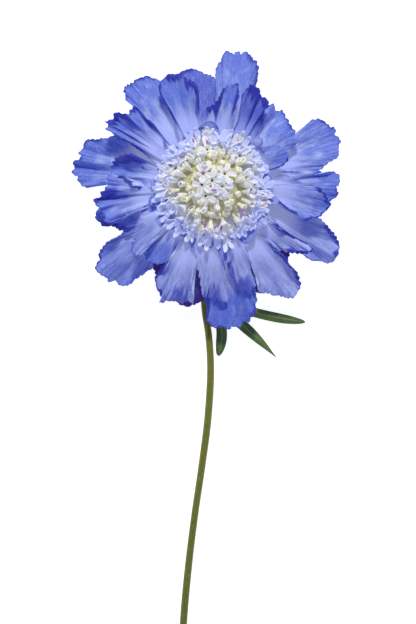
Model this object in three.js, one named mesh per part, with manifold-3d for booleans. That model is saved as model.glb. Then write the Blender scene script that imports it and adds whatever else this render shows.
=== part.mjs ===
// A pincushion flower (Scabiosa caucasica) as cut: it lies on its back on a flat surface, with the bloom
// facing up and its stem along the surface. Millimetres, +Z up, +Y from the cut end of the stem to the bloom.
import * as THREE from 'three';
import { mergeVertices } from 'three/addons/utils/BufferGeometryUtils.js';
import Module from 'manifold-3d';

const wasm = await Module();
wasm.setup();

// ---------------------------------------------------------------- driving dimensions
// The origin is on the surface, under the middle of the whole cut flower; the bloom's middle is here.
const BLOOM_X = 1.8;
const BLOOM_Y = 47.0;

const CLEARANCE = 0.3;             // between one piece and the next
const BLADE_THICKNESS = 0.65;      // ray lobes, leaves and bracts

const STEM_RADIUS = 1.05;
const STEM_SIDES = 8;
const STEM_STEPS = 42;
const STEM_TOP_Z = 7.7;

const LEAF_ROWS = 12;
const LEAF_COLUMNS = 2;

const CUP_RADIUS = 7.6;            // the green cup under the bloom
const CUP_TOP_Z = 11.4;
const CUP_SIDES = 20;
const BRACT_ROWS = 4;
const BRACT_COLUMNS = 2;
const BRACT_COUNT = 12;

const HUB_RADIUS = 10.8;           // where the ray florets' narrow bases stand together
const HUB_TOP_Z = 15.0;
const HUB_SIDES = 24;
const LOBE_ROOT_RADIUS = 8.4;
const LOBE_ROOT_Z = 12.1;          // of the lowest tier
const TIER_STEP = 0.65;
const LOBE_ROOT_HALF = 1.7;        // half of a lobe's width at its root
const LOBE_FAN = 1.5;              // how late a lobe widens
const LOBE_ROWS = 3;
const SHORTEST_EDGE = 1.9;         // between two points of a lobe's outline

const DOME_RADIUS = 12.0;          // the disc's core, which its florets stand out of
const DOME_TOP_Z = 21.4;
const DOME_SIDES = 20;
const FLORET_LOBES = 4;

// ---------------------------------------------------------------- small helpers
const radians = THREE.MathUtils.degToRad;
const mix = THREE.MathUtils.lerp;

function smooth(value) {
  const v = THREE.MathUtils.clamp(value, 0, 1);
  return v * v * (3 - 2 * v);
}

// The same draws on every run.
function drawsFrom(seed) {
  let state = seed;
  return (low, high) => {
    state = (Math.imul(state, 1664525) + 1013904223) >>> 0;
    return low + (high - low) * (state / 4294967296);
  };
}

function onCurve(start, pull, end, along) {
  const back = 1 - along;
  return start.clone().multiplyScalar(back * back)
    .addScaledVector(pull, 2 * back * along)
    .addScaledVector(end, along * along);
}

// A thin closed blade on each side of the surface point(across, along), with across from -1 to 1 and along
// from 0 to 1. Both faces are split into triangles alike, and nothing reaches under the surface it lies on.
function blade(point, rows, columns, thickness) {
  const positions = [];
  const index = [];
  const width = columns + 1;
  const faceSize = (rows + 1) * width;
  const nudge = 0.004;
  const settle = 0.15;
  for (const side of [0.5, -0.5]) {
    for (let row = 0; row <= rows; row += 1) {
      for (let column = 0; column <= columns; column += 1) {
        const across = (2 * column) / columns - 1;
        const along = row / rows;
        const sideways = point(across + nudge, along).sub(point(across - nudge, along));
        const outward = point(across, along + nudge).sub(point(across, along - nudge));
        const normal = outward.cross(sideways).normalize();
        const corner = point(across, along).addScaledVector(normal, side * thickness);
        if (corner.z < settle) {
          corner.z = 0;
        }
        positions.push(corner.x, corner.y, corner.z);
      }
    }
  }
  for (let row = 0; row < rows; row += 1) {
    for (let column = 0; column < columns; column += 1) {
      const a = row * width + column;
      const b = a + 1;
      const d = a + width;
      const e = d + 1;
      index.push(a, d, e, a, e, b);
      index.push(faceSize + a, faceSize + e, faceSize + d, faceSize + a, faceSize + b, faceSize + e);
    }
  }
  const rim = [];
  for (let row = 0; row < rows; row += 1) {
    rim.push(row * width);
  }
  for (let column = 0; column < columns; column += 1) {
    rim.push(rows * width + column);
  }
  for (let row = rows; row > 0; row -= 1) {
    rim.push(row * width + columns);
  }
  for (let column = columns; column > 0; column -= 1) {
    rim.push(column);
  }
  rim.forEach((from, place) => {
    const to = rim[(place + 1) % rim.length];
    index.push(from, faceSize + from, faceSize + to, from, faceSize + to, to);
  });
  const geometry = new THREE.BufferGeometry();
  geometry.setAttribute('position', new THREE.Float32BufferAttribute(positions, 3));
  geometry.setIndex(index);
  return geometry;
}

// A turned solid about +Z; the profile's [radius, height] pairs run from the bottom on the axis to the top.
function turned(profile, sides) {
  const points = profile.map(([radius, height]) => new THREE.Vector2(radius, height));
  return new THREE.LatheGeometry(points, sides).rotateX(Math.PI / 2);
}

// ---------------------------------------------------------------- joining
function toSolid(geometry) {
  const bare = geometry.clone();
  bare.deleteAttribute('normal');
  bare.deleteAttribute('uv');
  const merged = mergeVertices(bare, 1e-4);
  const corners = merged.index.array;
  const kept = [];
  for (let i = 0; i < corners.length; i += 3) {
    const [a, b, c] = [corners[i], corners[i + 1], corners[i + 2]];
    if (a !== b && b !== c && c !== a) {
      kept.push(a, b, c);
    }
  }
  return new wasm.Manifold(new wasm.Mesh({
    numProp: 3,
    vertProperties: new Float32Array(merged.getAttribute('position').array),
    triVerts: new Uint32Array(kept),
  }));
}

// One body without the small sealed hollows that crossing blades can close in.
function joined(geometries) {
  const whole = geometries.map(toSolid).reduce((sum, piece) => sum.add(piece));
  const solid = whole.decompose().reduce((main, piece) => (piece.volume() > main.volume() ? piece : main));
  const { vertProperties, triVerts } = solid.getMesh();
  const geometry = new THREE.BufferGeometry();
  geometry.setAttribute('position', new THREE.BufferAttribute(vertProperties, 3));
  geometry.setIndex(new THREE.BufferAttribute(triVerts, 1));
  return geometry;
}

// ---------------------------------------------------------------- materials
function material(color, roughness) {
  return new THREE.MeshStandardMaterial({ color, roughness, metalness: 0 });
}

const rayBlue = material(0x6f80cf, 0.6);
const discCream = material(0xd9d6cc, 0.65);
const leafGreen = material(0x52683f, 0.6);
const stemGreen = material(0x5c6330, 0.55);
const cupGreen = material(0x5f7347, 0.65);

// ---------------------------------------------------------------- stem
// From the bloom's base down to the surface, then along it to the cut end.
const stemRoute = [
  [0, 0, STEM_TOP_Z],
  [0, -0.5, 5.6],
  [-0.2, -2.9, 2.7],
  [-0.7, -7.2, 1.3],
  [-1.3, -13, STEM_RADIUS],
  [-2.1, -22, STEM_RADIUS],
  [-2.5, -31, STEM_RADIUS],
  [-2.35, -37, STEM_RADIUS],
  [-1.35, -43.8, STEM_RADIUS],
  [-0.7, -54, STEM_RADIUS],
  [-1.5, -69, STEM_RADIUS],
  [-3.3, -83.4, STEM_RADIUS],
  [-5.4, -97.8, STEM_RADIUS],
  [-7.2, -112.2, STEM_RADIUS],
  [-8.6, -126.6, STEM_RADIUS],
  [-9.2, -136, STEM_RADIUS],
];

function stemGeometry() {
  const route = new THREE.CatmullRomCurve3(stemRoute.map((place) => new THREE.Vector3(...place)));
  const corners = [];
  for (let side = 0; side < STEM_SIDES; side += 1) {
    const turn = ((side + 0.5) * 2 * Math.PI) / STEM_SIDES;
    corners.push(new THREE.Vector2(STEM_RADIUS * Math.cos(turn), STEM_RADIUS * Math.sin(turn)));
  }
  const section = new THREE.Shape(corners);
  return new THREE.ExtrudeGeometry(section, { steps: STEM_STEPS, bevelEnabled: false, extrudePath: route });
}

// ---------------------------------------------------------------- stem leaves
// Narrow leaves with whole edges, on the stem's right side. pull is the bend's control place in plan.
const LEAVES = [
  { name: 'leaf_right', root: [-1.1, -32.0], pull: [10.5, -38.2], tip: [27.9, -40.2], half: 1.45,
    point: 0.5 },
  { name: 'leaf_middle', root: [-1.1, -34.3], pull: [7.0, -38.2], tip: [18.9, -50.7], half: 1.45,
    point: 1.0 },
  { name: 'leaf_low', root: [-0.95, -36.6], pull: [4.6, -39.5], tip: [1.6, -50.4], half: 1.6, point: 0.45 },
];
const LEAF_KEEL = 0.22;
const LEAF_BASE_HALF = 0.55;

function leafPoint(leaf, across, along) {
  const root = new THREE.Vector3(leaf.root[0], leaf.root[1], STEM_RADIUS);
  const pull = new THREE.Vector3(leaf.pull[0], leaf.pull[1], 0.9);
  const tip = new THREE.Vector3(leaf.tip[0], leaf.tip[1], BLADE_THICKNESS / 2);
  const place = onCurve(root, pull, tip, along);
  const ahead = onCurve(root, pull, tip, along + 0.01).sub(onCurve(root, pull, tip, along - 0.01));
  const left = new THREE.Vector3(-ahead.y, ahead.x, 0).normalize();
  const swell = mix(LEAF_BASE_HALF, leaf.half, smooth(along / 0.5));
  const nearTip = Math.max((along - 0.55) / 0.45, 0);
  const taper = Math.pow(Math.max(1 - nearTip * nearTip, 0), leaf.point);
  const half = Math.max(swell * taper, 0.22);
  const keel = LEAF_KEEL * (0.5 - Math.abs(across)) * smooth(along / 0.3) * smooth((1 - along) / 0.3);
  return place.addScaledVector(left, half * across).setZ(Math.max(place.z + keel, BLADE_THICKNESS / 2));
}

// ---------------------------------------------------------------- involucre
// The green cup that the bloom grows from, and its narrow bracts, which hang under the rays.
const cupProfile = [
  [0, STEM_TOP_Z + CLEARANCE],
  [1.5, STEM_TOP_Z + CLEARANCE],
  [3.4, 8.9],
  [6.2, 10.2],
  [CUP_RADIUS, CUP_TOP_Z - 0.5],
  [CUP_RADIUS - 0.2, CUP_TOP_Z],
  [0, CUP_TOP_Z],
];

function bractPoint(angle, reach, half, across, along) {
  const outward = new THREE.Vector3(Math.cos(angle), Math.sin(angle), 0);
  const left = new THREE.Vector3(-outward.y, outward.x, 0);
  const radius = mix(5.4, reach, along);
  const width = Math.max(half * Math.sin(Math.PI * Math.min(0.25 + along * 0.75, 1)), 0.2);
  const height = mix(9.9, 6.6, along * (0.6 + 0.4 * along)) + 0.25 * Math.abs(across);
  return outward.multiplyScalar(radius).addScaledVector(left, width * across).setZ(height);
}

function involucreGeometry() {
  const draw = drawsFrom(31);
  const pieces = [turned(cupProfile, CUP_SIDES)];
  for (let bract = 0; bract < BRACT_COUNT; bract += 1) {
    const angle = radians((bract * 360) / BRACT_COUNT + draw(-5, 5));
    const reach = (bract % 2 === 0 ? 17.5 : 14.5) + draw(-1, 1);
    const half = 1.7 + draw(-0.2, 0.2);
    const surface = (across, along) => bractPoint(angle, reach, half, across, along);
    pieces.push(blade(surface, BRACT_ROWS, BRACT_COLUMNS, BLADE_THICKNESS));
  }
  return joined(pieces);
}

// ---------------------------------------------------------------- ray florets
// The blue lobes, one row each: name, tier (0 is the lowest), height that the bow pulls to, height of the
// tip, and the outline in mm from the bloom's middle, from the left of the root over the tip to the right.
const LOBES = [
  ['top_big', 1, 12, 3, [
    [3, 13], [1, 23], [0.7, 30], [1, 36.4], [2.5, 38.4], [3, 41], [4.8, 41.5], [6, 40.7], [7.3, 41.5],
    [8.2, 40.6], [10, 41], [12, 38.8], [13.7, 35.2], [12.9, 31], [10.5, 25], [7.5, 13]]],
  ['top_fold', 3, 15.6, 15.5, [
    [-2.4, 14], [-3.4, 21.2], [-2, 23.6], [0.8, 25.4], [1.6, 27.3], [3.6, 30], [6, 31], [7.7, 30.4],
    [7.3, 27], [6.8, 24], [5.6, 19], [4.2, 14]]],
  ['dark_right', 3, 14, 14, [
    [5.6, 13], [8, 21.5], [9, 26], [9.3, 28.6], [10.6, 30.2], [11.8, 31.2], [13.4, 30.5], [14.2, 29.3],
    [14.3, 27.6], [15.7, 26.5], [16.1, 25], [15.2, 23.6], [14.8, 20], [13.6, 17], [10.6, 12]]],
  ['up_right', 2, 14.5, 8.5, [
    [8.6, 12], [12.2, 18], [15, 24.4], [17.3, 25], [18.3, 25.5], [19.2, 23.4], [20.7, 23.5],
    [21.9, 21.3], [22.8, 19.7], [24, 17.6], [25.1, 15.3], [24.8, 13], [21.5, 10.5], [12, 7]]],
  ['right_big', 1, 10.5, 0, [
    [11.5, 9], [19, 14], [24.6, 15.2], [26.4, 17.6], [30, 20.2], [32.3, 21], [34.5, 20.3], [35.6, 18.8],
    [37, 18.5], [37.3, 16.3], [38.6, 15], [38, 12.5], [37.8, 10], [34.8, 7.8], [31.5, 4.9], [25, 3],
    [12, 2.4]]],
  ['right_small', 4, 16.6, 16.4, [
    [10.5, 8.5], [13.8, 11.2], [17, 12.4], [19.8, 12.4], [21.7, 11.2], [22.6, 9.5], [21.9, 7.7],
    [19.9, 6.2], [17, 5.9], [14, 6.4], [11.5, 5.4]]],
  ['right_back', 0, 10.5, 2.5, [
    [12, 5], [24, 5], [31.5, 5], [35, 4.9], [37.5, 4.4], [38.1, 3], [37.2, 0.3], [38.1, -1],
    [37.4, -2.4], [35.8, -3.3], [34, -4.6], [24, -5], [12, -2]]],
  ['right_low1', 3, 14.5, 9, [
    [12, 3.2], [18, 3.7], [23, 3.1], [27, 1.4], [31.5, 0], [33.6, -1.9], [35.3, -4.6], [34.2, -6.4],
    [33.3, -7.3], [32, -8.8], [29.6, -9], [27.4, -9.4], [25.6, -7.7], [21, -4.6], [17.6, -1.6],
    [12, -1.6]]],
  ['right_low2', 1, 10, 0, [
    [13, -2.6], [22, -5], [28, -7], [32, -8.9], [34, -11], [35.8, -13.3], [37.4, -15.2], [38.2, -17],
    [37.9, -19.5], [37, -20.8], [36.6, -22.3], [33, -21.8], [29, -21.3], [27.6, -19.6], [23, -16],
    [10.6, -8]]],
  ['right_low3', 3, 13.5, 8.5, [
    [11, -6], [16, -8.4], [19.4, -11], [20, -12.7], [22.2, -12.8], [23.2, -14.4], [25.2, -15],
    [26.6, -16.8], [29.5, -17.5], [29.6, -19.2], [27, -19.9], [23, -19.5], [19, -18], [14.6, -14.6],
    [8.6, -9]]],
  ['low_right', 2, 13.5, 6, [
    [9.6, -9], [14, -13.4], [17, -16.5], [19.5, -19.8], [21.6, -21], [23.3, -22.6], [24.6, -25],
    [25.6, -27.5], [25.8, -29.8], [25, -31.5], [23, -32.7], [20, -32.5], [16.6, -31.6], [14.4, -30.6],
    [12.8, -26.6], [11, -22], [6.4, -12]]],
  ['low_mid', 4, 15.8, 10.5, [
    [7.6, -11], [9.8, -17], [11.2, -24], [12, -29.3], [10.4, -30.5], [8, -29.2], [6.4, -27.8],
    [4.9, -25.8], [4, -21.5], [3.2, -17], [3, -12]]],
  ['lowest', 1, 12, 5, [
    [6.4, -12], [10.4, -23], [12.6, -30.6], [12.9, -35], [12.6, -37.6], [11.2, -38.9], [10.7, -40.3],
    [9, -40.1], [8.1, -41.8], [6, -41.3], [4.6, -42.2], [2.8, -41.7], [1, -42.2], [-1.3, -40],
    [-1.7, -35.6], [-0.6, -26], [1, -12]]],
  ['low_centre', 4, 15.8, 9.5, [
    [2.4, -12], [2.4, -18], [3.4, -24], [4.1, -28.5], [3.5, -33.8], [1, -33.2], [-1.5, -32.9],
    [-3, -32.2], [-4, -27], [-5, -22], [-4.7, -17], [-3, -12]]],
  ['low_left', 3, 14.5, 8, [
    [-3, -11.6], [-5.2, -18], [-5.5, -25], [-6.8, -30], [-6, -34.9], [-7.4, -33.6], [-9.4, -34.4],
    [-12, -33.8], [-15, -34.4], [-16, -34.6], [-15.8, -32.6], [-17, -28.6], [-16.8, -26.3],
    [-14.8, -24.8], [-12.6, -20.8], [-9.6, -17], [-6.2, -11]]],
  ['left_inner', 3, 14.5, 10.5, [
    [-6.6, -10.6], [-9.4, -15.6], [-12, -20], [-15, -22.5], [-17.6, -22.8], [-19.4, -21.8],
    [-20.4, -19.4], [-19, -17.6], [-17, -16], [-13.4, -13], [-10, -8.8]]],
  ['left_down', 4, 15.8, 12, [
    [-11, -7.6], [-15, -10.6], [-16.6, -13.6], [-18.6, -15], [-20, -18], [-22, -20.2], [-24, -19.4],
    [-24.2, -16], [-23, -11], [-22, -7.6], [-20, -5.2], [-16.6, -4], [-11.6, -3.6]]],
  ['left_low_big', 1, 10, 0, [
    [-9, -9], [-14, -16], [-18, -23.4], [-20, -25], [-22.4, -26.9], [-24.6, -28.3], [-26, -29],
    [-28.6, -29.1], [-29.4, -27.9], [-31.5, -28.1], [-32, -27], [-34.9, -25], [-35.4, -23],
    [-34.2, -19.7], [-33, -17.6], [-31, -15.5], [-28.6, -14.9], [-26.6, -12.9], [-22, -9.6], [-12, -4.6]]],
  ['left_shadow', 1, 11, 4.5, [
    [-11, -5], [-18, -9.4], [-24, -11.6], [-26.8, -12.8], [-28.7, -12.5], [-30, -11.8], [-32, -11.2],
    [-34.3, -10], [-35.4, -8.4], [-35.1, -6.8], [-33, -5], [-26, -2], [-12, -1]]],
  ['left_wide', 3, 14.5, 9, [
    [-12, -3], [-17, -4.6], [-22, -6.6], [-26.6, -8.7], [-30, -10.2], [-32.5, -10], [-33.5, -7.6],
    [-33.7, -5.8], [-35.4, -4.7], [-35.9, -3.2], [-34.4, -3], [-33.8, -1.5], [-32.3, 0], [-32, 2.2],
    [-31, 4.1], [-29.4, 3], [-27.8, 3.6], [-25.6, 1.8], [-23.4, 0.1], [-18, -0.4], [-12, 1]]],
  ['left_upper', 2, 14.4, 9.5, [
    [-11.6, 0.6], [-18, -0.4], [-22.6, 0], [-25.2, 1.6], [-27.6, 3.5], [-30, 4], [-30.4, 6.4],
    [-29.5, 8.6], [-27, 9.9], [-24.7, 10.3], [-23.3, 9.3], [-22.4, 7.7], [-21.3, 6], [-20.3, 6.8],
    [-17.4, 5.6], [-11.6, 4.6]]],
  ['left_most', 1, 10, 0, [
    [-11.6, 2], [-20, 1], [-31.5, 3], [-33.6, 2.2], [-35.6, 1.3], [-37.6, 0.7], [-39.6, 1],
    [-41.2, 3.2], [-42.1, 5], [-41.6, 6.4], [-42.5, 7.8], [-41, 8.9], [-39.6, 9.6], [-40.5, 10.8],
    [-39.2, 12.3], [-38.8, 14.2], [-34, 15.1], [-30, 15.8], [-24, 13.6], [-11, 7.6]]],
  ['up_left1', 3, 14.5, 10, [
    [-11, 5.4], [-16.6, 7.6], [-20.6, 10.3], [-23.6, 12.5], [-26.4, 14.4], [-29, 15.5], [-30, 16.8],
    [-32.2, 18], [-31.5, 19.2], [-32.3, 20.2], [-30, 20.7], [-29.2, 22.4], [-27.4, 22.1], [-26, 21.8],
    [-24.9, 23], [-23.3, 24.8], [-22.2, 23.8], [-21.4, 21.5], [-19, 20.2], [-17.2, 17.8], [-15.5, 15.6],
    [-14.6, 12], [-9, 8]]],
  ['up_left2', 1, 11.5, 4, [
    [-10, 8.6], [-16, 15.6], [-21, 21.4], [-24.4, 25.3], [-26.1, 27.6], [-26.3, 31], [-24, 32.2],
    [-22, 33.2], [-20, 33.8], [-18, 33.1], [-16.3, 32.4], [-15, 29], [-12.6, 21], [-7, 11]]],
  ['up_left3', 3, 15, 11, [
    [-8, 11], [-11, 18.4], [-13, 23.2], [-15, 27], [-16.2, 29.2], [-16, 31.6], [-14.4, 33.4],
    [-12.4, 34.3], [-10.4, 33.9], [-9, 33.1], [-7, 32.4], [-4.9, 31.2], [-4.3, 29.4], [-5.2, 26.6],
    [-4.4, 21], [-3.4, 13]]],
  ['top_back', 1, 10.5, 0, [
    [-7, 12], [-11, 24], [-13.4, 33.6], [-11.6, 34.4], [-10, 35.1], [-8, 35.9], [-6.3, 36.2],
    [-4, 35.4], [-2, 34.3], [0, 33.7], [1.8, 32.6], [2, 26], [0, 12]]],
  ['back_low_left', 0, 10.5, 4, [
    [-1.4, -12], [-2.4, -25], [-3, -32.6], [-4, -34], [-6.5, -35.3], [-9.2, -35.2], [-12, -33],
    [-15, -30.6], [-17.3, -27.5], [-17.6, -23], [-15.6, -19.6], [-8.6, -11]]],
  ['back_low_right', 0, 10.5, 4, [
    [11, -7], [19, -14.6], [22.8, -18.6], [22.7, -20.8], [21, -25], [18, -29], [15.2, -31.1],
    [12.8, -30.6], [11.6, -26], [9.6, -20], [5.4, -12]]],
  ['pale_low_right', 4, 15, 16.4, [
    [10.4, -6], [13.4, -7.6], [15.5, -9], [16.2, -10.8], [15.4, -12], [13.4, -11.5], [11.2, -9.8],
    [9.2, -8]]],
  ['pale_up_right', 4, 15, 16.4, [
    [7.4, 9.6], [10, 13.6], [12.6, 15.2], [14.6, 14.8], [14.8, 13.2], [13.2, 11.6], [9.8, 8]]],
  ['pale_top', 4, 15.2, 16.2, [
    [-3.4, 12], [-3.9, 17.4], [-2.9, 19.2], [-0.6, 19.8], [0.9, 18.4], [0.6, 12]]],
  ['pale_low', 4, 15.2, 15.6, [
    [5, -12], [5, -18], [4.6, -22], [3.4, -22.6], [2, -19.6], [1.4, -12]]],
];

const hubProfile = [
  [0, CUP_TOP_Z + CLEARANCE],
  [8.2, CUP_TOP_Z + CLEARANCE],
  [10.5, 12.7],
  [HUB_RADIUS, 14.0],
  [9.4, HUB_TOP_Z],
  [0, HUB_TOP_Z],
];

// The rays stay under this height, and the disc's florets over it.
function partingHeight(radius) {
  const overHub = 0.1 * Math.max(radius - HUB_RADIUS, 0);
  return HUB_TOP_Z + CLEARANCE / 2 + overHub + 1.3 * Math.max(radius - 17, 0);
}

// Lifts a height softly so that it stays on or above the lowest one that a blade can have.
function lying(height) {
  const lowest = BLADE_THICKNESS / 2;
  const over = height - lowest;
  return lowest + 0.5 * (over + Math.sqrt(over * over + 0.1));
}

// Leaves out the points of an outline that stand too close to the last one kept.
function thinned(outline) {
  const points = outline.map(([x, y]) => new THREE.Vector2(x, y));
  const kept = [points[0]];
  for (const point of points.slice(1, -1)) {
    if (point.distanceTo(kept[kept.length - 1]) >= SHORTEST_EDGE) {
      kept.push(point);
    }
  }
  return [...kept, points[points.length - 1]];
}

// What a lobe's rows and columns need besides its outline.
function measured(outline) {
  const points = thinned(outline);
  const ways = [0];
  for (let step = 1; step < points.length; step += 1) {
    ways.push(ways[step - 1] + points[step].distanceTo(points[step - 1]));
  }
  const last = points.length - 1;
  const root = points[0].clone().add(points[last]).setLength(LOBE_ROOT_RADIUS);
  const third = Math.floor(points.length / 3);
  const tip = new THREE.Vector2();
  const outermost = points.slice(third, points.length - third);
  outermost.forEach((point) => tip.addScaledVector(point, 1 / outermost.length));
  const ahead = tip.sub(root).normalize();
  const left = new THREE.Vector2(-ahead.y, ahead.x);
  const length = Math.max(...points.map((point) => point.clone().sub(root).dot(ahead)));
  return { points, shares: ways.map((way) => (2 * way) / ways[last] - 1), root, ahead, left, length };
}

// A place on the lobe. across is the share of the outline's points passed, and the lobe's surface fans out
// from its root to each of them.
function lobePoint(lobe, across, along) {
  const last = lobe.points.length - 1;
  const passed = THREE.MathUtils.clamp((across + 1) / 2, 0, 1) * last;
  const step = Math.min(Math.floor(passed), last - 1);
  const edge = lobe.points[step].clone().lerp(lobe.points[step + 1], passed - step).sub(lobe.root);
  const turn = mix(lobe.shares[step], lobe.shares[step + 1], passed - step);
  const reach = edge.dot(lobe.ahead) * along;
  const start = -turn * LOBE_ROOT_HALF;
  const aside = mix(start, edge.dot(lobe.left), Math.pow(Math.max(along, 0), LOBE_FAN));
  const place = lobe.root.clone().addScaledVector(lobe.ahead, reach).addScaledVector(lobe.left, aside);

  const share = reach / lobe.length;
  const outer = smooth((along - 0.12) / 0.88);
  const rootZ = LOBE_ROOT_Z + TIER_STEP * lobe.tier;
  const back = 1 - share;
  const bowed = back * back * rootZ + 2 * back * share * lobe.bow + share * share * lobe.end;
  const cupped = lobe.cup * Math.abs(turn) * (along * along - 0.3);
  const pleated = lobe.pleat * Math.sin(Math.PI * lobe.pleats * 2 * turn + lobe.phase);
  const height = lying(bowed + (cupped + lobe.twist * turn + pleated) * outer);
  const ceiling = partingHeight(place.length()) - CLEARANCE / 2 - BLADE_THICKNESS / 2;
  return new THREE.Vector3(place.x, place.y, Math.min(height, ceiling - 0.15));
}

function rayGeometry() {
  const draw = drawsFrom(7);
  const pieces = [turned(hubProfile, HUB_SIDES)];
  for (const [, tier, bow, end, outline] of LOBES) {
    const lobe = { tier, bow, end, ...measured(outline) };
    lobe.cup = draw(-0.6, 1.4);
    lobe.twist = draw(-0.9, 0.9);
    lobe.pleat = draw(0.25, 0.6);
    lobe.pleats = draw(1.6, 2.4);
    lobe.phase = draw(0, 2 * Math.PI);
    const surface = (across, along) => lobePoint(lobe, across, along);
    pieces.push(blade(surface, LOBE_ROWS, lobe.points.length - 1, BLADE_THICKNESS));
  }
  return joined(pieces);
}

// ---------------------------------------------------------------- disc florets
const domeProfile = [
  [0, HUB_TOP_Z + CLEARANCE],
  [10.6, HUB_TOP_Z + CLEARANCE],
  [DOME_RADIUS, 16.2],
  [DOME_RADIUS - 0.2, 17.2],
  [9.8, 18.6],
  [6.6, 20.2],
  [3.3, 21.1],
  [0, DOME_TOP_Z],
];

// Open florets in the middle, [x, y] from the bloom's middle, then rings of buds and of open florets.
const MIDDLE_FLORETS = [[-0.3, 1.9], [1.1, -2.8], [-3.7, 0.6], [3.2, -0.2], [-1.9, 4.6], [3.4, 3.4],
  [-2.4, -2.9], [-6.0, 3.2], [5.2, -3.2]];
const RINGS = [
  { kind: 'bud', radius: 6.9, count: 12, size: 1.15 },
  { kind: 'bud', radius: 9.2, count: 16, size: 1.2 },
  { kind: 'open', radius: 11.5, count: 17, size: 2.0 },
  { kind: 'open', radius: 14.2, count: 20, size: 2.2 },
];
const FLORET_THICKNESS = 0.6;
const MIDDLE_DEPTH = 3.6;          // how far each kind of floret reaches into the dome
const BUD_DEPTH = 3.2;
const RING_DEPTH = 4.4;
const MIDDLE_SIZE = 2.3;

// An open floret about +Z: a star of lobes with a sunken throat, on a tube that narrows to its foot.
function openFloret(size, depth) {
  const rim = FLORET_LOBES * 2;
  const positions = [0, 0, -0.7];
  const ring = (count, radiusAt, height) => {
    const first = positions.length / 3;
    for (let step = 0; step < count; step += 1) {
      const turn = (2 * Math.PI * step) / count;
      positions.push(radiusAt(step) * Math.cos(turn), radiusAt(step) * Math.sin(turn), height);
    }
    return first;
  };
  const lobed = (step) => (step % 2 === 0 ? size : size * 0.48);
  const top = ring(rim, lobed, 0);
  const under = ring(rim, lobed, -FLORET_THICKNESS);
  const foot = ring(FLORET_LOBES, () => 0.55, -depth);
  const index = [];
  for (let step = 0; step < rim; step += 1) {
    const next = (step + 1) % rim;
    index.push(0, top + step, top + next);
    index.push(top + step, under + step, under + next, top + step, under + next, top + next);
  }
  for (let lobe = 0; lobe < FLORET_LOBES; lobe += 1) {
    const next = (lobe + 1) % FLORET_LOBES;
    const tip = under + 2 * lobe;
    const notch = tip + 1;
    const nextTip = under + ((2 * lobe + 2) % rim);
    index.push(tip, foot + lobe, notch);
    index.push(notch, foot + lobe, foot + next);
    index.push(notch, foot + next, nextTip);
  }
  for (let lobe = 1; lobe < FLORET_LOBES - 1; lobe += 1) {
    index.push(foot, foot + lobe + 1, foot + lobe);
  }
  const geometry = new THREE.BufferGeometry();
  geometry.setAttribute('position', new THREE.Float32BufferAttribute(positions, 3));
  geometry.setIndex(index);
  return geometry;
}

// A closed bud about +Z, round-topped, with its foot at -depth.
function bud(size, depth) {
  const shoulder = [0.8 * size, -0.3 * size];
  const profile = [[0, -depth], [0.5 * size, -depth], [0.95 * size, -0.9 * size], shoulder, [0, 0]];
  return turned(profile, 5);
}

// Sets a floret made about +Z on the dome at this place in plan, leaning out with the dome's round.
function setOnDome(geometry, x, y, lean, height, turn) {
  const away = Math.atan2(y, x);
  const axis = new THREE.Vector3(
    Math.sin(lean) * Math.cos(away),
    Math.sin(lean) * Math.sin(away),
    Math.cos(lean),
  );
  const upright = new THREE.Quaternion().setFromAxisAngle(new THREE.Vector3(0, 0, 1), turn);
  const leaning = new THREE.Quaternion().setFromUnitVectors(new THREE.Vector3(0, 0, 1), axis);
  const place = new THREE.Vector3(x, y, height);
  const matrix = new THREE.Matrix4().compose(place, leaning.multiply(upright), new THREE.Vector3(1, 1, 1));
  geometry.applyMatrix4(matrix);
  const positions = geometry.getAttribute('position');
  for (let corner = 0; corner < positions.count; corner += 1) {
    const radius = Math.hypot(positions.getX(corner), positions.getY(corner));
    const lowest = partingHeight(radius) + CLEARANCE / 2;
    positions.setZ(corner, Math.max(positions.getZ(corner), lowest));
  }
  return geometry;
}

function floretHeight(radius) {
  return 24.4 - 0.036 * radius * radius;
}

function discGeometry() {
  const draw = drawsFrom(19);
  const pieces = [turned(domeProfile, DOME_SIDES)];
  for (const [x, y] of MIDDLE_FLORETS) {
    const radius = Math.hypot(x, y);
    const lean = radius * 0.07;
    const height = floretHeight(radius) + draw(0.2, 1.0);
    pieces.push(setOnDome(openFloret(MIDDLE_SIZE, MIDDLE_DEPTH), x, y, lean, height, draw(0, 6)));
  }
  for (const ring of RINGS) {
    for (let step = 0; step < ring.count; step += 1) {
      const angle = (2 * Math.PI * (step + draw(-0.18, 0.18))) / ring.count;
      const radius = ring.radius + draw(-0.4, 0.4);
      const [x, y] = [radius * Math.cos(angle), radius * Math.sin(angle)];
      const lean = radius * 0.065;
      const height = floretHeight(radius) - (ring.kind === 'bud' ? 0.9 : 0) + draw(-0.3, 0.3);
      const shape = ring.kind === 'bud' ? bud(ring.size, BUD_DEPTH) : openFloret(ring.size, RING_DEPTH);
      pieces.push(setOnDome(shape, x, y, lean, height, draw(0, 6)));
    }
  }
  return joined(pieces);
}

// ---------------------------------------------------------------- the flower
function named(name, geometry, surface) {
  const piece = new THREE.Mesh(geometry, surface);
  piece.name = name;
  return piece;
}

const flower = new THREE.Group();
flower.position.set(BLOOM_X, BLOOM_Y, 0);
flower.add(named('stem', stemGeometry(), stemGreen));
for (const leaf of LEAVES) {
  const surface = (across, along) => leafPoint(leaf, across, along);
  flower.add(named(leaf.name, blade(surface, LEAF_ROWS, LEAF_COLUMNS, BLADE_THICKNESS), leafGreen));
}
flower.add(named('involucre', involucreGeometry(), cupGreen));
flower.add(named('ray_florets', rayGeometry(), rayBlue));
flower.add(named('disc_florets', discGeometry(), discCream));

export default flower;
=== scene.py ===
"""A pincushion flower, cut and laid on its back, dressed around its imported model.

Sizes of the petals and florets are in millimetres from the bloom's middle, as in the part's source, and
heights are over the surface that the flower lies on. Every Blender object is in metres, in the part's frame.
"""

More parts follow.
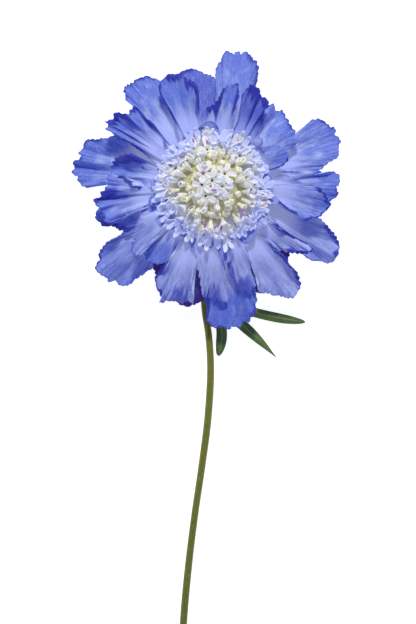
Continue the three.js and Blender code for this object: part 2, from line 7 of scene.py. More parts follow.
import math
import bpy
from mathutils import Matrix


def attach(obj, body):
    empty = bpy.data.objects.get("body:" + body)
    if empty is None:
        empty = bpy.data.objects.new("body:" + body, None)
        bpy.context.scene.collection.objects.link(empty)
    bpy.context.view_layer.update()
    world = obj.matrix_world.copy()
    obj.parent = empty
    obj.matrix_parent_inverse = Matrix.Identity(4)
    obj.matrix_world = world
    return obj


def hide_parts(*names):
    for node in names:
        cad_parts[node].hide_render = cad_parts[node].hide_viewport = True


bl_info = {
    "name": "Pincushion Flower",
    "version": (1, 0, 0),
    "blender": (4, 5, 0),
    "location": "View3D > Sidebar > Flower",
    "description": "Builds a cut pincushion flower piece by piece",
    "category": "Add Mesh",
}

import bpy
import numpy as np
from bpy.props import FloatProperty, FloatVectorProperty, IntProperty, PointerProperty
from bpy.types import Operator, Panel, PropertyGroup

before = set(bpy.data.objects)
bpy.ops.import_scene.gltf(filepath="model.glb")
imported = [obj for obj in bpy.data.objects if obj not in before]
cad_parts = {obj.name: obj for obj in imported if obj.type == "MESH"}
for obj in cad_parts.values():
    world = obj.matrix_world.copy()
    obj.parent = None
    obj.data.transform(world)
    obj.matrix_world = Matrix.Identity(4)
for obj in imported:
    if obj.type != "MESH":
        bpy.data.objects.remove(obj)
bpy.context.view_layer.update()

MM = 0.001
BODY = "root"
TAU = 2 * math.pi

# ---------------------------------------------------------------- sizes shared with the part's source
BLOOM_X, BLOOM_Y = 1.8, 47.0
CLEARANCE = 0.3
CAD_BLADE = 0.65
STEM_RADIUS = 1.05
STEM_TOP_Z = 7.7
CUP_RADIUS = 7.6
CUP_TOP_Z = 11.4
HUB_RADIUS = 10.8
HUB_TOP_Z = 15.0
LOBE_ROOT_RADIUS = 8.4
LOBE_ROOT_Z = 12.1
TIER_STEP = 0.65


# ---------------------------------------------------------------- what a user would change
def colour(r, g, b):
    """A display colour of 0 to 255 as the linear one that shaders take."""
    def linear(v):
        v /= 255
        return v / 12.92 if v <= 0.04045 else ((v + 0.055) / 1.055) ** 2.4
    return (linear(r), linear(g), linear(b))


def tint(name, description, r, g, b):
    """A colour property, with a display colour of 0 to 255 as its default."""
    return FloatVectorProperty(
        name=name, description=description, subtype="COLOR", min=0, max=1, default=colour(r, g, b))


def span(name, description, default, least, most):
    """A length property, given here in millimetres and kept in metres."""
    return FloatProperty(
        name=name, description=description, subtype="DISTANCE", precision=5,
        default=default * MM, min=least * MM, max=most * MM)


class FlowerSizes(PropertyGroup):
    """What a user would change about the flower's form."""

    petal_thickness: span("Petal thickness", "Thickness of a ray floret's lobe", 0.26, 0.1, 0.6)
    petal_teeth: span("Petal teeth", "Depth of the teeth on the petals' edges", 0.9, 0, 1.5)
    petal_ruffle: FloatProperty(
        name="Petal ruffle", description="How strongly the petals' outer edges wave", subtype="FACTOR",
        default=1.0, min=0, max=2)
    stem_hairs: IntProperty(
        name="Stem hairs", description="Number of short hairs on the stem", subtype="UNSIGNED",
        default=900, min=0, max=4000)


class FlowerColours(PropertyGroup):
    """The colours of the flower's finishes."""

    petal_pale: tint("Pale petal", "Palest parts of the petals", 216, 224, 213)
    petal_light: tint("Light petal", "Petals at their middle", 180, 197, 204)
    petal_deep: tint("Deep petal", "Petals towards the edge", 107, 132, 181)
    petal_foot: tint("Petal foot", "Petals where they leave the disc", 124, 139, 202)
    # Also the painted shade in the petals' folds, notches and rolled rims.
    petal_ink_and_shade: tint("Petal ink", "Folds, rims and backs of petals", 36, 43, 138)
    # Painted shade: the deep purple of the lobes that lie under the others.
    petal_purple_shade: tint("Petal purple", "Petals under the others", 52, 24, 112)
    # Painted glow, which the petals emit to fill their shade: blue, and pale at their feet.
    petal_painted_glow: tint("Petal glow", "Light that comes through the petals", 38, 64, 210)
    petal_painted_foot_glow: tint("Petal veil", "Light that comes through the petals at their feet", 232, 238, 255)
    floret_white: tint("Floret white", "Open florets of the disc", 190, 190, 178)
    floret_lilac: tint("Floret lilac", "Tips of the outer florets", 163, 171, 207)
    # Painted shade deep in the open florets' throats.
    floret_throat_shade: tint("Floret throat", "Deep in the open florets", 44, 44, 20)
    bud_cream: tint("Bud cream", "Unopened florets", 206, 200, 168)
    bud_green: tint("Bud green", "Between the buds", 163, 161, 108)
    # Painted shade in patches of the disc's core, between the florets.
    core_shade: tint("Core", "Deepest parts of the disc", 142, 144, 96)
    anther_mauve: tint("Anther mauve", "Anthers", 158, 92, 158)
    involucre: tint("Involucre", "Cup and bracts under the bloom", 112, 132, 84)
    leaf: tint("Leaf", "Leaf blades", 69, 92, 33)
    down: tint("Down", "Midribs, backs and downy parts of leaves and bracts", 176, 190, 120)
    stem: tint("Stem", "Middle of the stem", 100, 104, 4)
    stem_young: tint("Young stem", "Stem near the bloom", 80, 94, 8)
    stem_old: tint("Old stem", "Stem near its cut end", 84, 90, 5)
    stem_ridge: tint("Stem ridge", "Fine dark streaks along the stem", 58, 66, 12)
    stem_sunned: tint("Sunned stem", "Paler patches of the stem", 116, 122, 22)
    stem_freckle: tint("Stem freckle", "Browner patches of the stem", 98, 76, 26)
    stem_pith: tint("Stem pith", "Middle of the cut end, and the stem's hairs", 190, 192, 142)


def sizes():
    return bpy.context.scene.flower_sizes


def colours():
    return bpy.context.scene.flower_colours


# ---------------------------------------------------------------- shader writing
class Value:
    """A shader socket that Python's arithmetic works on."""

    def __init__(self, board, socket):
        self.board = board
        self.socket = socket

    def _math(self, operation, *values):
        return self.board.node("ShaderNodeMath", {"operation": operation}, dict(enumerate(values)))

    def __add__(self, other):
        return self._math("ADD", self, other)

    def __sub__(self, other):
        return self._math("SUBTRACT", self, other)

    def __rsub__(self, other):
        return self._math("SUBTRACT", other, self)

    def __mul__(self, other):
        return self._math("MULTIPLY", self, other)

    __radd__ = __add__
    __rmul__ = __mul__

    def between(self, low, high):
        """0 up to low and 1 from high on, with a soft step from one to the other."""
        return self.board.node("ShaderNodeMapRange", {"interpolation_type": "SMOOTHSTEP"},
                               {"Value": self, "From Min": low, "From Max": high})


class Board:
    """The node tree of one material."""

    def __init__(self, name):
        self.material = bpy.data.materials.new(name)
        self.material.use_nodes = True
        self.tree = self.material.node_tree
        self.tree.nodes.clear()

    def node(self, kind, settings=None, inputs=None, output=0):
        """Adds a node of this kind, with its settings made first, and gives one of its outputs."""
        made = self.tree.nodes.new(kind)
        for key, value in (settings or {}).items():
            if key == "stops":
                ramp = made.color_ramp
                for place, (position, shade) in enumerate(value):
                    stop = ramp.elements[place] if place < 2 else ramp.elements.new(position)
                    stop.position = position
                    stop.color = (*shade, 1)
            else:
                setattr(made, key, value)
        for key, value in (inputs or {}).items():
            socket = made.inputs[key]
            if isinstance(value, Value):
                self.tree.links.new(value.socket, socket)
            elif socket.type == "RGBA":
                socket.default_value = (*value[:3], 1)
            else:
                socket.default_value = value
        return Value(self, made.outputs[output]) if len(made.outputs) else None

    def attribute(self, name):
        return self.node("ShaderNodeAttribute", {"attribute_name": name}, output="Fac")

    def place(self):
        """Where each spot of the surface is, in metres."""
        return self.node("ShaderNodeNewGeometry", output="Position")

    def mix(self, factor, first, second):
        return self.node("ShaderNodeMix", {"data_type": "RGBA"}, {0: factor, 6: first, 7: second}, 2)

    def noise(self, vector, scale, detail, stretch=(1, 1, 1)):
        placed = self.node("ShaderNodeVectorMath", {"operation": "MULTIPLY"}, {0: vector, 1: stretch})
        return self.node("ShaderNodeTexNoise", {}, {"Vector": placed, "Scale": scale, "Detail": detail})

    def bump(self, height, distance, strength):
        return self.node("ShaderNodeBump", {}, {"Height": height, "Distance": distance, "Strength": strength})

    def finish(self, inputs):
        """Closes the board with its surface shader and gives the material."""
        shader = self.node("ShaderNodeBsdfPrincipled", {}, inputs)
        self.node("ShaderNodeOutputMaterial", {}, {"Surface": shader})
        return self.material


# ---------------------------------------------------------------- mesh writing
def smooth(value):
    """A soft step from 0 to 1 while the value goes from 0 to 1."""
    v = np.clip(value, 0, 1)
    return v * v * (3 - 2 * v)


def rise(value, low, high):
    """A soft step from 0 to 1 while the value goes from low to high."""
    return smooth((value - low) / (high - low))


def mix(low, high, share):
    return low + (high - low) * share


def on_curve(start, pull, end, along):
    """A place on the curve from start to end that bends towards pull."""
    back = 1 - along
    return start * back**2 + pull * 2 * back * along + end * along**2


def unit(vectors):
    """The vectors, each at length 1."""
    return vectors / np.linalg.norm(vectors, axis=-1, keepdims=True)


def left_of(direction):
    """A direction in plan, turned a quarter to the left."""
    return np.array([-direction[1], direction[0]])


def turns(steps):
    """Angles evenly spaced round a circle."""
    return np.arange(steps) * TAU / steps


def hoop(radius, height, turn):
    """A ring of points about Z, with one radius and height, or with one for each turn."""
    return np.stack([radius * np.cos(turn), radius * np.sin(turn), np.zeros_like(turn) + height], -1)


def tube(line, side, over, reach, turn):
    """Rings of points about a line, which side and over stand square to."""
    around = np.cos(turn)[None, :, None] * side[:, None] + np.sin(turn)[None, :, None] * over[:, None]
    return line[:, None] + reach[..., None] * around


def blade_grid(rows, columns):
    """The shares along a blade, from 0 to 1, and across it, from -1 to 1, for a grid of places."""
    return np.meshgrid(np.linspace(0, 1, rows), np.linspace(-1, 1, columns), indexing="ij")


def draws_from(seed):
    """The same draws as the part's source makes from this seed."""
    state = seed

    def draw(low, high):
        nonlocal state
        state = (state * 1664525 + 1013904223) & 0xFFFFFFFF
        return low + (high - low) * state / 4294967296
    return draw


class Shape:
    """Vertices in millimetres, faces and named values per vertex, gathered for one piece."""

    def __init__(self):
        self.points = []
        self.faces = []
        self.values = {}
        self.count = 0

    def add(self, points, blocks, **values):
        """Adds points, and blocks of faces that all have the same number of corners."""
        points = np.asarray(points, float).reshape(-1, 3)
        self.points.append(points)
        self.faces += [np.asarray(block, int) + self.count for block in blocks]
        for name, value in values.items():
            spread = np.broadcast_to(np.asarray(value, float).reshape(-1), (len(points),))
            self.values.setdefault(name, []).append(spread)
        self.count += len(points)

    def piece(self, name, material, slot, *nodes):
        """Makes the object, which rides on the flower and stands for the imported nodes."""
        points = np.concatenate(self.points) + np.array([BLOOM_X, BLOOM_Y, 0])
        faces = [face.tolist() for block in self.faces for face in block]
        mesh = bpy.data.meshes.new(name)
        mesh.from_pydata((points * MM).tolist(), [], faces)
        mesh.polygons.foreach_set("use_smooth", np.ones(len(mesh.polygons), bool))
        for key, blocks in self.values.items():
            layer = mesh.attributes.new(key, "FLOAT", "POINT")
            layer.data.foreach_set("value", np.concatenate(blocks).astype(np.float32))
        mesh.materials.append(material)
        mesh.validate()
        made = bpy.data.objects.new(name, mesh)
        bpy.context.scene.collection.objects.link(made)
        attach(made, BODY)
        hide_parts(*nodes)


def grid_faces(rows, columns, ring=False, first=0):
    """Quads of a grid of rows by columns of points, closed round its columns where ring is set."""
    row, column = np.meshgrid(np.arange(rows - 1), np.arange(columns if ring else columns - 1), indexing="ij")
    after = (column + 1) % columns
    a = first + row * columns + column
    b = first + row * columns + after
    return np.stack([a, a + columns, b + columns, b], -1).reshape(-1, 4)


def sheet_solid(shape, place, thickness, **values):
    """A closed thin sheet on both sides of the grid of points place[row, column].

    thickness and each of the values are one number or a grid; the back's vertices have 1 in "back".
    """
    rows, columns = place.shape[:2]
    normal = np.cross(np.gradient(place, axis=0), np.gradient(place, axis=1))
    normal /= np.maximum(np.linalg.norm(normal, axis=2, keepdims=True), 1e-9)
    half = np.broadcast_to(np.asarray(thickness, float) / 2, (rows, columns))[..., None]
    size = rows * columns
    front = (place + normal * half).reshape(-1, 3)
    rear = (place - normal * half).reshape(-1, 3)
    quads = grid_faces(rows, columns)
    row_end, column_end = rows - 1, columns - 1
    rim = np.concatenate([
        np.arange(row_end) * columns,
        row_end * columns + np.arange(column_end),
        np.arange(row_end, 0, -1) * columns + column_end,
        np.arange(column_end, 0, -1),
    ])
    after = np.roll(rim, -1)
    walls = np.stack([rim, rim + size, after + size, after], -1)
    both = {name: np.tile(np.broadcast_to(np.asarray(value, float), (rows, columns)).reshape(-1), 2)
            for name, value in values.items()}
    back = np.repeat([0.0, 1.0], size)
    shape.add(np.concatenate([front, rear]), [quads, quads[:, ::-1] + size, walls], back=back, **both)


def turned_solid(shape, ring, foot, top, **values):
    """A closed body of rings ring[row, step] between two poles, from the foot up."""
    rows, steps = ring.shape[:2]
    points = np.concatenate([ring.reshape(-1, 3), [foot, top]])
    spread = {}
    for name, value in values.items():
        grid = np.broadcast_to(np.asarray(value, float), (rows, steps))
        spread[name] = np.concatenate([grid.reshape(-1), [grid[0].mean(), grid[-1].mean()]])
    step = np.arange(steps)
    after = (step + 1) % steps
    last = (rows - 1) * steps
    foot_fan = np.stack([np.full(steps, rows * steps), after, step], -1)
    top_fan = np.stack([np.full(steps, rows * steps + 1), last + step, last + after], -1)
    sides = grid_faces(rows, steps, ring=True)[:, ::-1]
    shape.add(points, [sides, foot_fan, top_fan], **spread)


SMOOTH_LINE_STEPS = 24


def smooth_line(route):
    """A dense smooth line through the route's places, its way in mm, and the way of each given place."""
    places = np.asarray(route, float)
    before, beyond = 2 * places[0] - places[1], 2 * places[-1] - places[-2]
    places = np.concatenate([[before], places, [beyond]])
    dense = []
    for start in range(len(places) - 3):
        p0, p1, p2, p3 = places[start:start + 4]
        gap = [max(np.linalg.norm(b - a) ** 0.5, 1e-4) for a, b in ((p0, p1), (p1, p2), (p2, p3))]
        leave = ((p1 - p0) / gap[0] - (p2 - p0) / (gap[0] + gap[1]) + (p2 - p1) / gap[1]) * gap[1]
        arrive = ((p2 - p1) / gap[1] - (p3 - p1) / (gap[1] + gap[2]) + (p3 - p2) / gap[2]) * gap[1]
        for t in np.linspace(0, 1, SMOOTH_LINE_STEPS, endpoint=False):
            dense.append((2 * t**3 - 3 * t**2 + 1) * p1 + (t**3 - 2 * t**2 + t) * leave
                         + (3 * t**2 - 2 * t**3) * p2 + (t**3 - t**2) * arrive)
    dense = np.array(dense + [places[-2]])
    length = np.concatenate([[0], np.cumsum(np.linalg.norm(np.diff(dense, axis=0), axis=1))])
    return dense, length, length[::SMOOTH_LINE_STEPS]


# ---------------------------------------------------------------- ray florets
# One row for each blue lobe:
# - its name and its tier (0 is the lowest)
# - the height that its bow pulls to, and the height of its tip
# - its tone, from the palest at 1 to the deepest, purple one at -1.7, and how ruffled it is; the tone is
#   partly the lobe's own colour and partly painted light and shade: paler on lower lobes that slope away from
#   the key light, deeper on lobes that lie in shade
# - its outline in plan, from the left of its root over the tip to the right
# - the bands of ink and painted shade along its rim, where it rolls over or lies in a neighbour's shade:
#   from one outline point to another, with the width and the strength
# - its creases: outline point, height and breadth of the ridge
LOBE_KEYS = ("name", "tier", "bow", "end", "tone", "ruffle", "outline", "bands", "creases")
LOBES = [
    ["top_big", 1, 12, 3, -0.45, 0.9,
     [[3, 13], [1, 23], [0.7, 30], [1, 36.4], [2.5, 38.4], [3, 41], [4.8, 41.5], [6, 40.7], [7.3, 41.5],
      [8.2, 40.6], [10, 41], [12, 38.8], [13.7, 35.2], [12.9, 31], [10.5, 25], [7.5, 13]],
     [[10, 13, 1.2, 0.6]], [[5, 0.7, 4], [8, -0.6, 3], [11, 0.8, 4]]],
    ["top_fold", 3, 15.6, 15.5, -0.05, 0.6,
     [[-2.4, 14], [-3.4, 21.2], [-2, 23.6], [0.8, 25.4], [1.6, 27.3], [3.6, 30], [6, 31], [7.7, 30.4],
      [7.3, 27], [6.8, 24], [5.6, 19], [4.2, 14]],
     [[2, 5, 2.2, 0.9], [6, 8, 0.6, 0.7]], [[3, -0.9, 4], [7, 0.6, 4]]],
    ["dark_right", 3, 14, 14, -0.9, 0.8,
     [[5.6, 13], [8, 21.5], [9, 26], [9.3, 28.6], [10.6, 30.2], [11.8, 31.2], [13.4, 30.5], [14.2, 29.3],
      [14.3, 27.6], [15.7, 26.5], [16.1, 25], [15.2, 23.6], [14.8, 20], [13.6, 17], [10.6, 12]],
     [[4, 8, 4, 0.9], [8, 12, 1.6, 0.9]], [[4, 0.8, 4], [8, -0.6, 3]]],
    ["up_right", 2, 14.5, 8.5, -0.05, 1.1,
     [[8.6, 12], [12.2, 18], [15, 24.4], [17.3, 25], [18.3, 25.5], [19.2, 23.4], [20.7, 23.5],
      [21.9, 21.3], [22.8, 19.7], [24, 17.6], [25.1, 15.3], [24.8, 13], [21.5, 10.5], [12, 7]],
     [[1, 3, 1.6, 0.9], [6, 9, 0.5, 0.7]], [[3, 0.9, 4], [5, -0.9, 4], [8, 0.8, 4]]],
    ["right_big", 1, 10.5, 0, 0.15, 0.6,
     [[11.5, 9], [19, 14], [24.6, 15.2], [26.4, 17.6], [30, 20.2], [32.3, 21], [34.5, 20.3], [35.6, 18.8],
      [37, 18.5], [37.3, 16.3], [38.6, 15], [38, 12.5], [37.8, 10], [34.8, 7.8], [31.5, 4.9], [25, 3],
      [12, 2.4]],
     [[5, 9, 0.4, 0.7]], [[4, 0.6, 6], [9, -0.7, 5], [13, 0.5, 6]]],
    ["right_small", 4, 16.6, 16.4, 0.3, 0.3,
     [[10.5, 8.5], [13.8, 11.2], [17, 12.4], [19.8, 12.4], [21.7, 11.2], [22.6, 9.5], [21.9, 7.7],
      [19.9, 6.2], [17, 5.9], [14, 6.4], [11.5, 5.4]],
     [[5, 9, 0.5, 0.7]], [[4, 0.3, 4]]],
    ["right_back", 0, 10.5, 2.5, -0.2, 0.7,
     [[12, 5], [24, 5], [31.5, 5], [35, 4.9], [37.5, 4.4], [38.1, 3], [37.2, 0.3], [38.1, -1],
      [37.4, -2.4], [35.8, -3.3], [34, -4.6], [24, -5], [12, -2]],
     [[6, 10, 0.5, 0.7]], [[3, 0.9, 3], [4, -0.8, 3], [6, 0.8, 4]]],
    ["right_low1", 3, 14.5, 9, 0.3, 0.9,
     [[12, 3.2], [18, 3.7], [23, 3.1], [27, 1.4], [31.5, 0], [33.6, -1.9], [35.3, -4.6], [34.2, -6.4],
      [33.3, -7.3], [32, -8.8], [29.6, -9], [27.4, -9.4], [25.6, -7.7], [21, -4.6], [17.6, -1.6],
      [12, -1.6]],
     [[4, 7, 0.9, 0.9], [7, 11, 0.6, 0.7], [12, 14, 1, 0.9]], [[3, 0.5, 4], [7, -0.7, 4], [10, 0.7, 4]]],
    ["right_low2", 1, 10, 0, 0.55, 1.1,
     [[13, -2.6], [22, -5], [28, -7], [32, -8.9], [34, -11], [35.8, -13.3], [37.4, -15.2], [38.2, -17],
      [37.9, -19.5], [37, -20.8], [36.6, -22.3], [33, -21.8], [29, -21.3], [27.6, -19.6], [23, -16],
      [10.6, -8]],
     [[4, 9, 1.5, 0.8], [11, 12, 0.5, 0.8]], [[5, 0.8, 4], [7, -1, 4], [9, 0.8, 3], [11, -0.6, 4]]],
    ["right_low3", 3, 13.5, 8.5, 0.7, 1.1,
     [[11, -6], [16, -8.4], [19.4, -11], [20, -12.7], [22.2, -12.8], [23.2, -14.4], [25.2, -15],
      [26.6, -16.8], [29.5, -17.5], [29.6, -19.2], [27, -19.9], [23, -19.5], [19, -18], [14.6, -14.6],
      [8.6, -9]],
     [[2, 8, 1.5, 0.95], [8, 11, 1.1, 0.8]], [[3, 0.9, 3], [6, -0.8, 4], [9, 0.6, 4]]],
    ["low_right", 2, 13.5, 6, 0.75, 1,
     [[9.6, -9], [14, -13.4], [17, -16.5], [19.5, -19.8], [21.6, -21], [23.3, -22.6], [24.6, -25],
      [25.6, -27.5], [25.8, -29.8], [25, -31.5], [23, -32.7], [20, -32.5], [16.6, -31.6], [14.4, -30.6],
      [12.8, -26.6], [11, -22], [6.4, -12]],
     [[4, 8, 1.3, 0.9], [2, 4, 0.9, 0.8]], [[6, 0.9, 4], [8, -0.8, 4], [10, 0.7, 4], [12, -0.6, 4]]],
    ["low_mid", 4, 15.8, 10.5, 0.75, 0.7,
     [[7.6, -11], [9.8, -17], [11.2, -24], [12, -29.3], [10.4, -30.5], [8, -29.2], [6.4, -27.8],
      [4.9, -25.8], [4, -21.5], [3.2, -17], [3, -12]],
     [[3, 7, 4, 0.55]], [[3, 0.6, 4], [5, -0.6, 3]]],
    ["lowest", 1, 12, 5, -0.1, 1,
     [[6.4, -12], [10.4, -23], [12.6, -30.6], [12.9, -35], [12.6, -37.6], [11.2, -38.9], [10.7, -40.3],
      [9, -40.1], [8.1, -41.8], [6, -41.3], [4.6, -42.2], [2.8, -41.7], [1, -42.2], [-1.3, -40],
      [-1.7, -35.6], [-0.6, -26], [1, -12]],
     [[3, 5, 1.2, 0.6], [8, 13, 0.6, 0.5], [13, 16, 3.6, 0.85]],
     [[4, 0.7, 4], [7, -0.8, 4], [10, 0.8, 4], [12, -0.6, 4]]],
    ["low_centre", 4, 15.8, 9.5, 0.85, 0.7,
     [[2.4, -12], [2.4, -18], [3.4, -24], [4.1, -28.5], [3.5, -33.8], [1, -33.2], [-1.5, -32.9],
      [-3, -32.2], [-4, -27], [-5, -22], [-4.7, -17], [-3, -12]],
     [[4, 7, 5, 0.55]], [[3, 0.5, 4], [6, -0.5, 4], [8, 0.5, 4]]],
    ["low_left", 3, 14.5, 8, 0.7, 1,
     [[-3, -11.6], [-5.2, -18], [-5.5, -25], [-6.8, -30], [-6, -34.9], [-7.4, -33.6], [-9.4, -34.4],
      [-12, -33.8], [-15, -34.4], [-16, -34.6], [-15.8, -32.6], [-17, -28.6], [-16.8, -26.3],
      [-14.8, -24.8], [-12.6, -20.8], [-9.6, -17], [-6.2, -11]],
     [[5, 9, 4.5, 0.55], [10, 13, 0.8, 0.8]], [[3, 0.6, 4], [5, -0.9, 4], [7, 0.6, 4], [10, -0.7, 4]]],
    ["left_inner", 3, 14.5, 10.5, 0.2, 0.7,
     [[-6.6, -10.6], [-9.4, -15.6], [-12, -20], [-15, -22.5], [-17.6, -22.8], [-19.4, -21.8],
      [-20.4, -19.4], [-19, -17.6], [-17, -16], [-13.4, -13], [-10, -8.8]],
     [[4, 7, 2.4, 0.35]], [[4, 0.6, 4], [7, -0.6, 4]]],
    ["left_down", 4, 15.8, 12, 0.55, 0.4,
     [[-11, -7.6], [-15, -10.6], [-16.6, -13.6], [-18.6, -15], [-20, -18], [-22, -20.2], [-24, -19.4],
      [-24.2, -16], [-23, -11], [-22, -7.6], [-20, -5.2], [-16.6, -4], [-11.6, -3.6]],
     [[5, 7, 0.8, 0.5], [8, 10, 0.8, 0.5]], [[3, 0.4, 4], [6, -0.5, 4], [8, 0.5, 4]]],
    ["left_low_big", 1, 10, 0, 0.35, 0.8,
     [[-9, -9], [-14, -16], [-18, -23.4], [-20, -25], [-22.4, -26.9], [-24.6, -28.3], [-26, -29],
      [-28.6, -29.1], [-29.4, -27.9], [-31.5, -28.1], [-32, -27], [-34.9, -25], [-35.4, -23],
      [-34.2, -19.7], [-33, -17.6], [-31, -15.5], [-28.6, -14.9], [-26.6, -12.9], [-22, -9.6],
      [-12, -4.6]],
     [[10, 14, 0.4, 0.7]], [[5, 0.6, 5], [8, -0.7, 4], [11, 0.8, 4], [14, -0.7, 4]]],
    ["left_shadow", 1, 11, 4.5, -0.8, 0.8,
     [[-11, -5], [-18, -9.4], [-24, -11.6], [-26.8, -12.8], [-28.7, -12.5], [-30, -11.8], [-32, -11.2],
      [-34.3, -10], [-35.4, -8.4], [-35.1, -6.8], [-33, -5], [-26, -2], [-12, -1]],
     [[2, 7, 1.6, 0.9]], [[4, 0.6, 4], [7, -0.6, 4]]],
    ["left_wide", 3, 14.5, 9, 0.2, 1.4,
     [[-12, -3], [-17, -4.6], [-22, -6.6], [-26.6, -8.7], [-30, -10.2], [-32.5, -10], [-33.5, -7.6],
      [-33.7, -5.8], [-35.4, -4.7], [-35.9, -3.2], [-34.4, -3], [-33.8, -1.5], [-32.3, 0], [-32, 2.2],
      [-31, 4.1], [-29.4, 3], [-27.8, 3.6], [-25.6, 1.8], [-23.4, 0.1], [-18, -0.4], [-12, 1]],
     [[4, 7, 0.9, 0.9], [8, 12, 3.4, 0.9], [15, 19, 1.5, 0.7]],
     [[5, 0.8, 3], [9, -1.1, 3], [12, 1, 3], [15, -0.4, 4]]],
    ["left_upper", 2, 14.4, 9.5, -0.3, 1.2,
     [[-11.6, 0.6], [-18, -0.4], [-22.6, 0], [-25.2, 1.6], [-27.6, 3.5], [-30, 4], [-30.4, 6.4],
      [-29.5, 8.6], [-27, 9.9], [-24.7, 10.3], [-23.3, 9.3], [-22.4, 7.7], [-21.3, 6], [-20.3, 6.8],
      [-17.4, 5.6], [-11.6, 4.6]],
     [[6, 10, 3.6, 0.9], [10, 12, 0.8, 0.7]], [[4, 0.9, 3], [6, -1.1, 3], [8, 1, 3]]],
    ["left_most", 1, 10, 0, -0.25, 1,
     [[-11.6, 2], [-20, 1], [-31.5, 3], [-33.6, 2.2], [-35.6, 1.3], [-37.6, 0.7], [-39.6, 1], [-41.2, 3.2],
      [-42.1, 5], [-41.6, 6.4], [-42.5, 7.8], [-41, 8.9], [-39.6, 9.6], [-40.5, 10.8], [-39.2, 12.3],
      [-38.8, 14.2], [-34, 15.1], [-30, 15.8], [-24, 13.6], [-11, 7.6]],
     [[8, 12, 0.4, 0.7], [14, 16, 0.5, 0.7]],
     [[6, 0.7, 5], [9, -1.2, 3], [11, 1, 3], [14, -0.9, 4], [16, 0.5, 4]]],
    ["up_left1", 3, 14.5, 10, -0.3, 1,
     [[-11, 5.4], [-16.6, 7.6], [-20.6, 10.3], [-23.6, 12.5], [-26.4, 14.4], [-29, 15.5], [-30, 16.8],
      [-32.2, 18], [-31.5, 19.2], [-32.3, 20.2], [-30, 20.7], [-29.2, 22.4], [-27.4, 22.1], [-26, 21.8],
      [-24.9, 23], [-23.3, 24.8], [-22.2, 23.8], [-21.4, 21.5], [-19, 20.2], [-17.2, 17.8], [-15.5, 15.6],
      [-14.6, 12], [-9, 8]],
     [[3, 6, 1.6, 0.9], [8, 13, 2.4, 0.9], [14, 16, 1.4, 0.9], [16, 21, 1.1, 0.9]],
     [[7, 0.8, 3], [10, -0.9, 3], [13, 0.8, 3]]],
    ["up_left2", 1, 11.5, 4, -0.1, 0.6,
     [[-10, 8.6], [-16, 15.6], [-21, 21.4], [-24.4, 25.3], [-26.1, 27.6], [-26.3, 31], [-24, 32.2],
      [-22, 33.2], [-20, 33.8], [-18, 33.1], [-16.3, 32.4], [-15, 29], [-12.6, 21], [-7, 11]],
     [[4, 9, 0.4, 0.7]], [[4, 0.5, 5], [7, -0.6, 4], [9, 0.5, 4]]],
    ["up_left3", 3, 15, 11, -0.5, 1,
     [[-8, 11], [-11, 18.4], [-13, 23.2], [-15, 27], [-16.2, 29.2], [-16, 31.6], [-14.4, 33.4],
      [-12.4, 34.3], [-10.4, 33.9], [-9, 33.1], [-7, 32.4], [-4.9, 31.2], [-4.3, 29.4], [-5.2, 26.6],
      [-4.4, 21], [-3.4, 13]],
     [[6, 9, 2.2, 0.8], [9, 13, 3.2, 1], [2, 5, 0.9, 0.8]],
     [[4, 0.6, 3], [7, -1, 3], [9, 0.9, 3], [11, -0.8, 3]]],
    ["top_back", 1, 10.5, 0, -1.15, 0.9,
     [[-7, 12], [-11, 24], [-13.4, 33.6], [-11.6, 34.4], [-10, 35.1], [-8, 35.9], [-6.3, 36.2], [-4, 35.4],
      [-2, 34.3], [0, 33.7], [1.8, 32.6], [2, 26], [0, 12]],
     [[2, 6, 1, 0.9]], [[4, 0.7, 4], [6, -0.7, 4], [8, 0.7, 4]]],
    # The two lobes under the others: their lowest tone paints them purple, as painted shade.
    ["back_low_left", 0, 10.5, 4, -1.7, 0.8,
     [[-1.4, -12], [-2.4, -25], [-3, -32.6], [-4, -34], [-6.5, -35.3], [-9.2, -35.2], [-12, -33],
      [-15, -30.6], [-17.3, -27.5], [-17.6, -23], [-15.6, -19.6], [-8.6, -11]],
     [[1, 10, 4, 0.9]], [[4, 0.6, 4], [7, -0.6, 4]]],
    ["back_low_right", 0, 10.5, 4, -1.7, 0.8,
     [[11, -7], [19, -14.6], [22.8, -18.6], [22.7, -20.8], [21, -25], [18, -29], [15.2, -31.1],
      [12.8, -30.6], [11.6, -26], [9.6, -20], [5.4, -12]],
     [[1, 9, 4, 0.9]], [[3, 0.6, 4], [6, -0.6, 4]]],
    ["pale_low_right", 4, 15, 16.4, 0.9, 0.2,
     [[10.4, -6], [13.4, -7.6], [15.5, -9], [16.2, -10.8], [15.4, -12], [13.4, -11.5], [11.2, -9.8],
      [9.2, -8]],
     [[3, 6, 0.4, 0.2]], [[4, 0.3, 3]]],
    ["pale_up_right", 4, 15, 16.4, 0.7, 0.2,
     [[7.4, 9.6], [10, 13.6], [12.6, 15.2], [14.6, 14.8], [14.8, 13.2], [13.2, 11.6], [9.8, 8]],
     [[3, 5, 0.4, 0.2]], [[3, 0.3, 3]]],
    ["pale_top", 4, 15.2, 16.2, 0.5, 0.2,
     [[-3.4, 12], [-3.9, 17.4], [-2.9, 19.2], [-0.6, 19.8], [0.9, 18.4], [0.6, 12]],
     [[2, 4, 0.4, 0.2]], [[2, 0.3, 3]]],
    ["pale_low", 4, 15.2, 15.6, 0.4, 0.2,
     [[5, -12], [5, -18], [4.6, -22], [3.4, -22.6], [2, -19.6], [1.4, -12]],
     [[2, 4, 0.6, 0.2]], [[2, 0.3, 3]]],
]

RAY_SEED = 7
LOBE_SEED_STEP = 11
LOBE_ROWS, LOBE_COLUMNS = 25, 180
# How the rows crowd towards the rim, and how late a lobe widens from its root. 1 is evenly.
ROW_CROWDING, LOBE_FAN = 1.35, 1.3
LOBE_ROOT_HALF = 3.0
FOOT_SPREAD = 1.7
TOOTH_PITCH = 1.6
# The rim's length from which a lobe ruffles at full strength.
LONG_RIM = 45

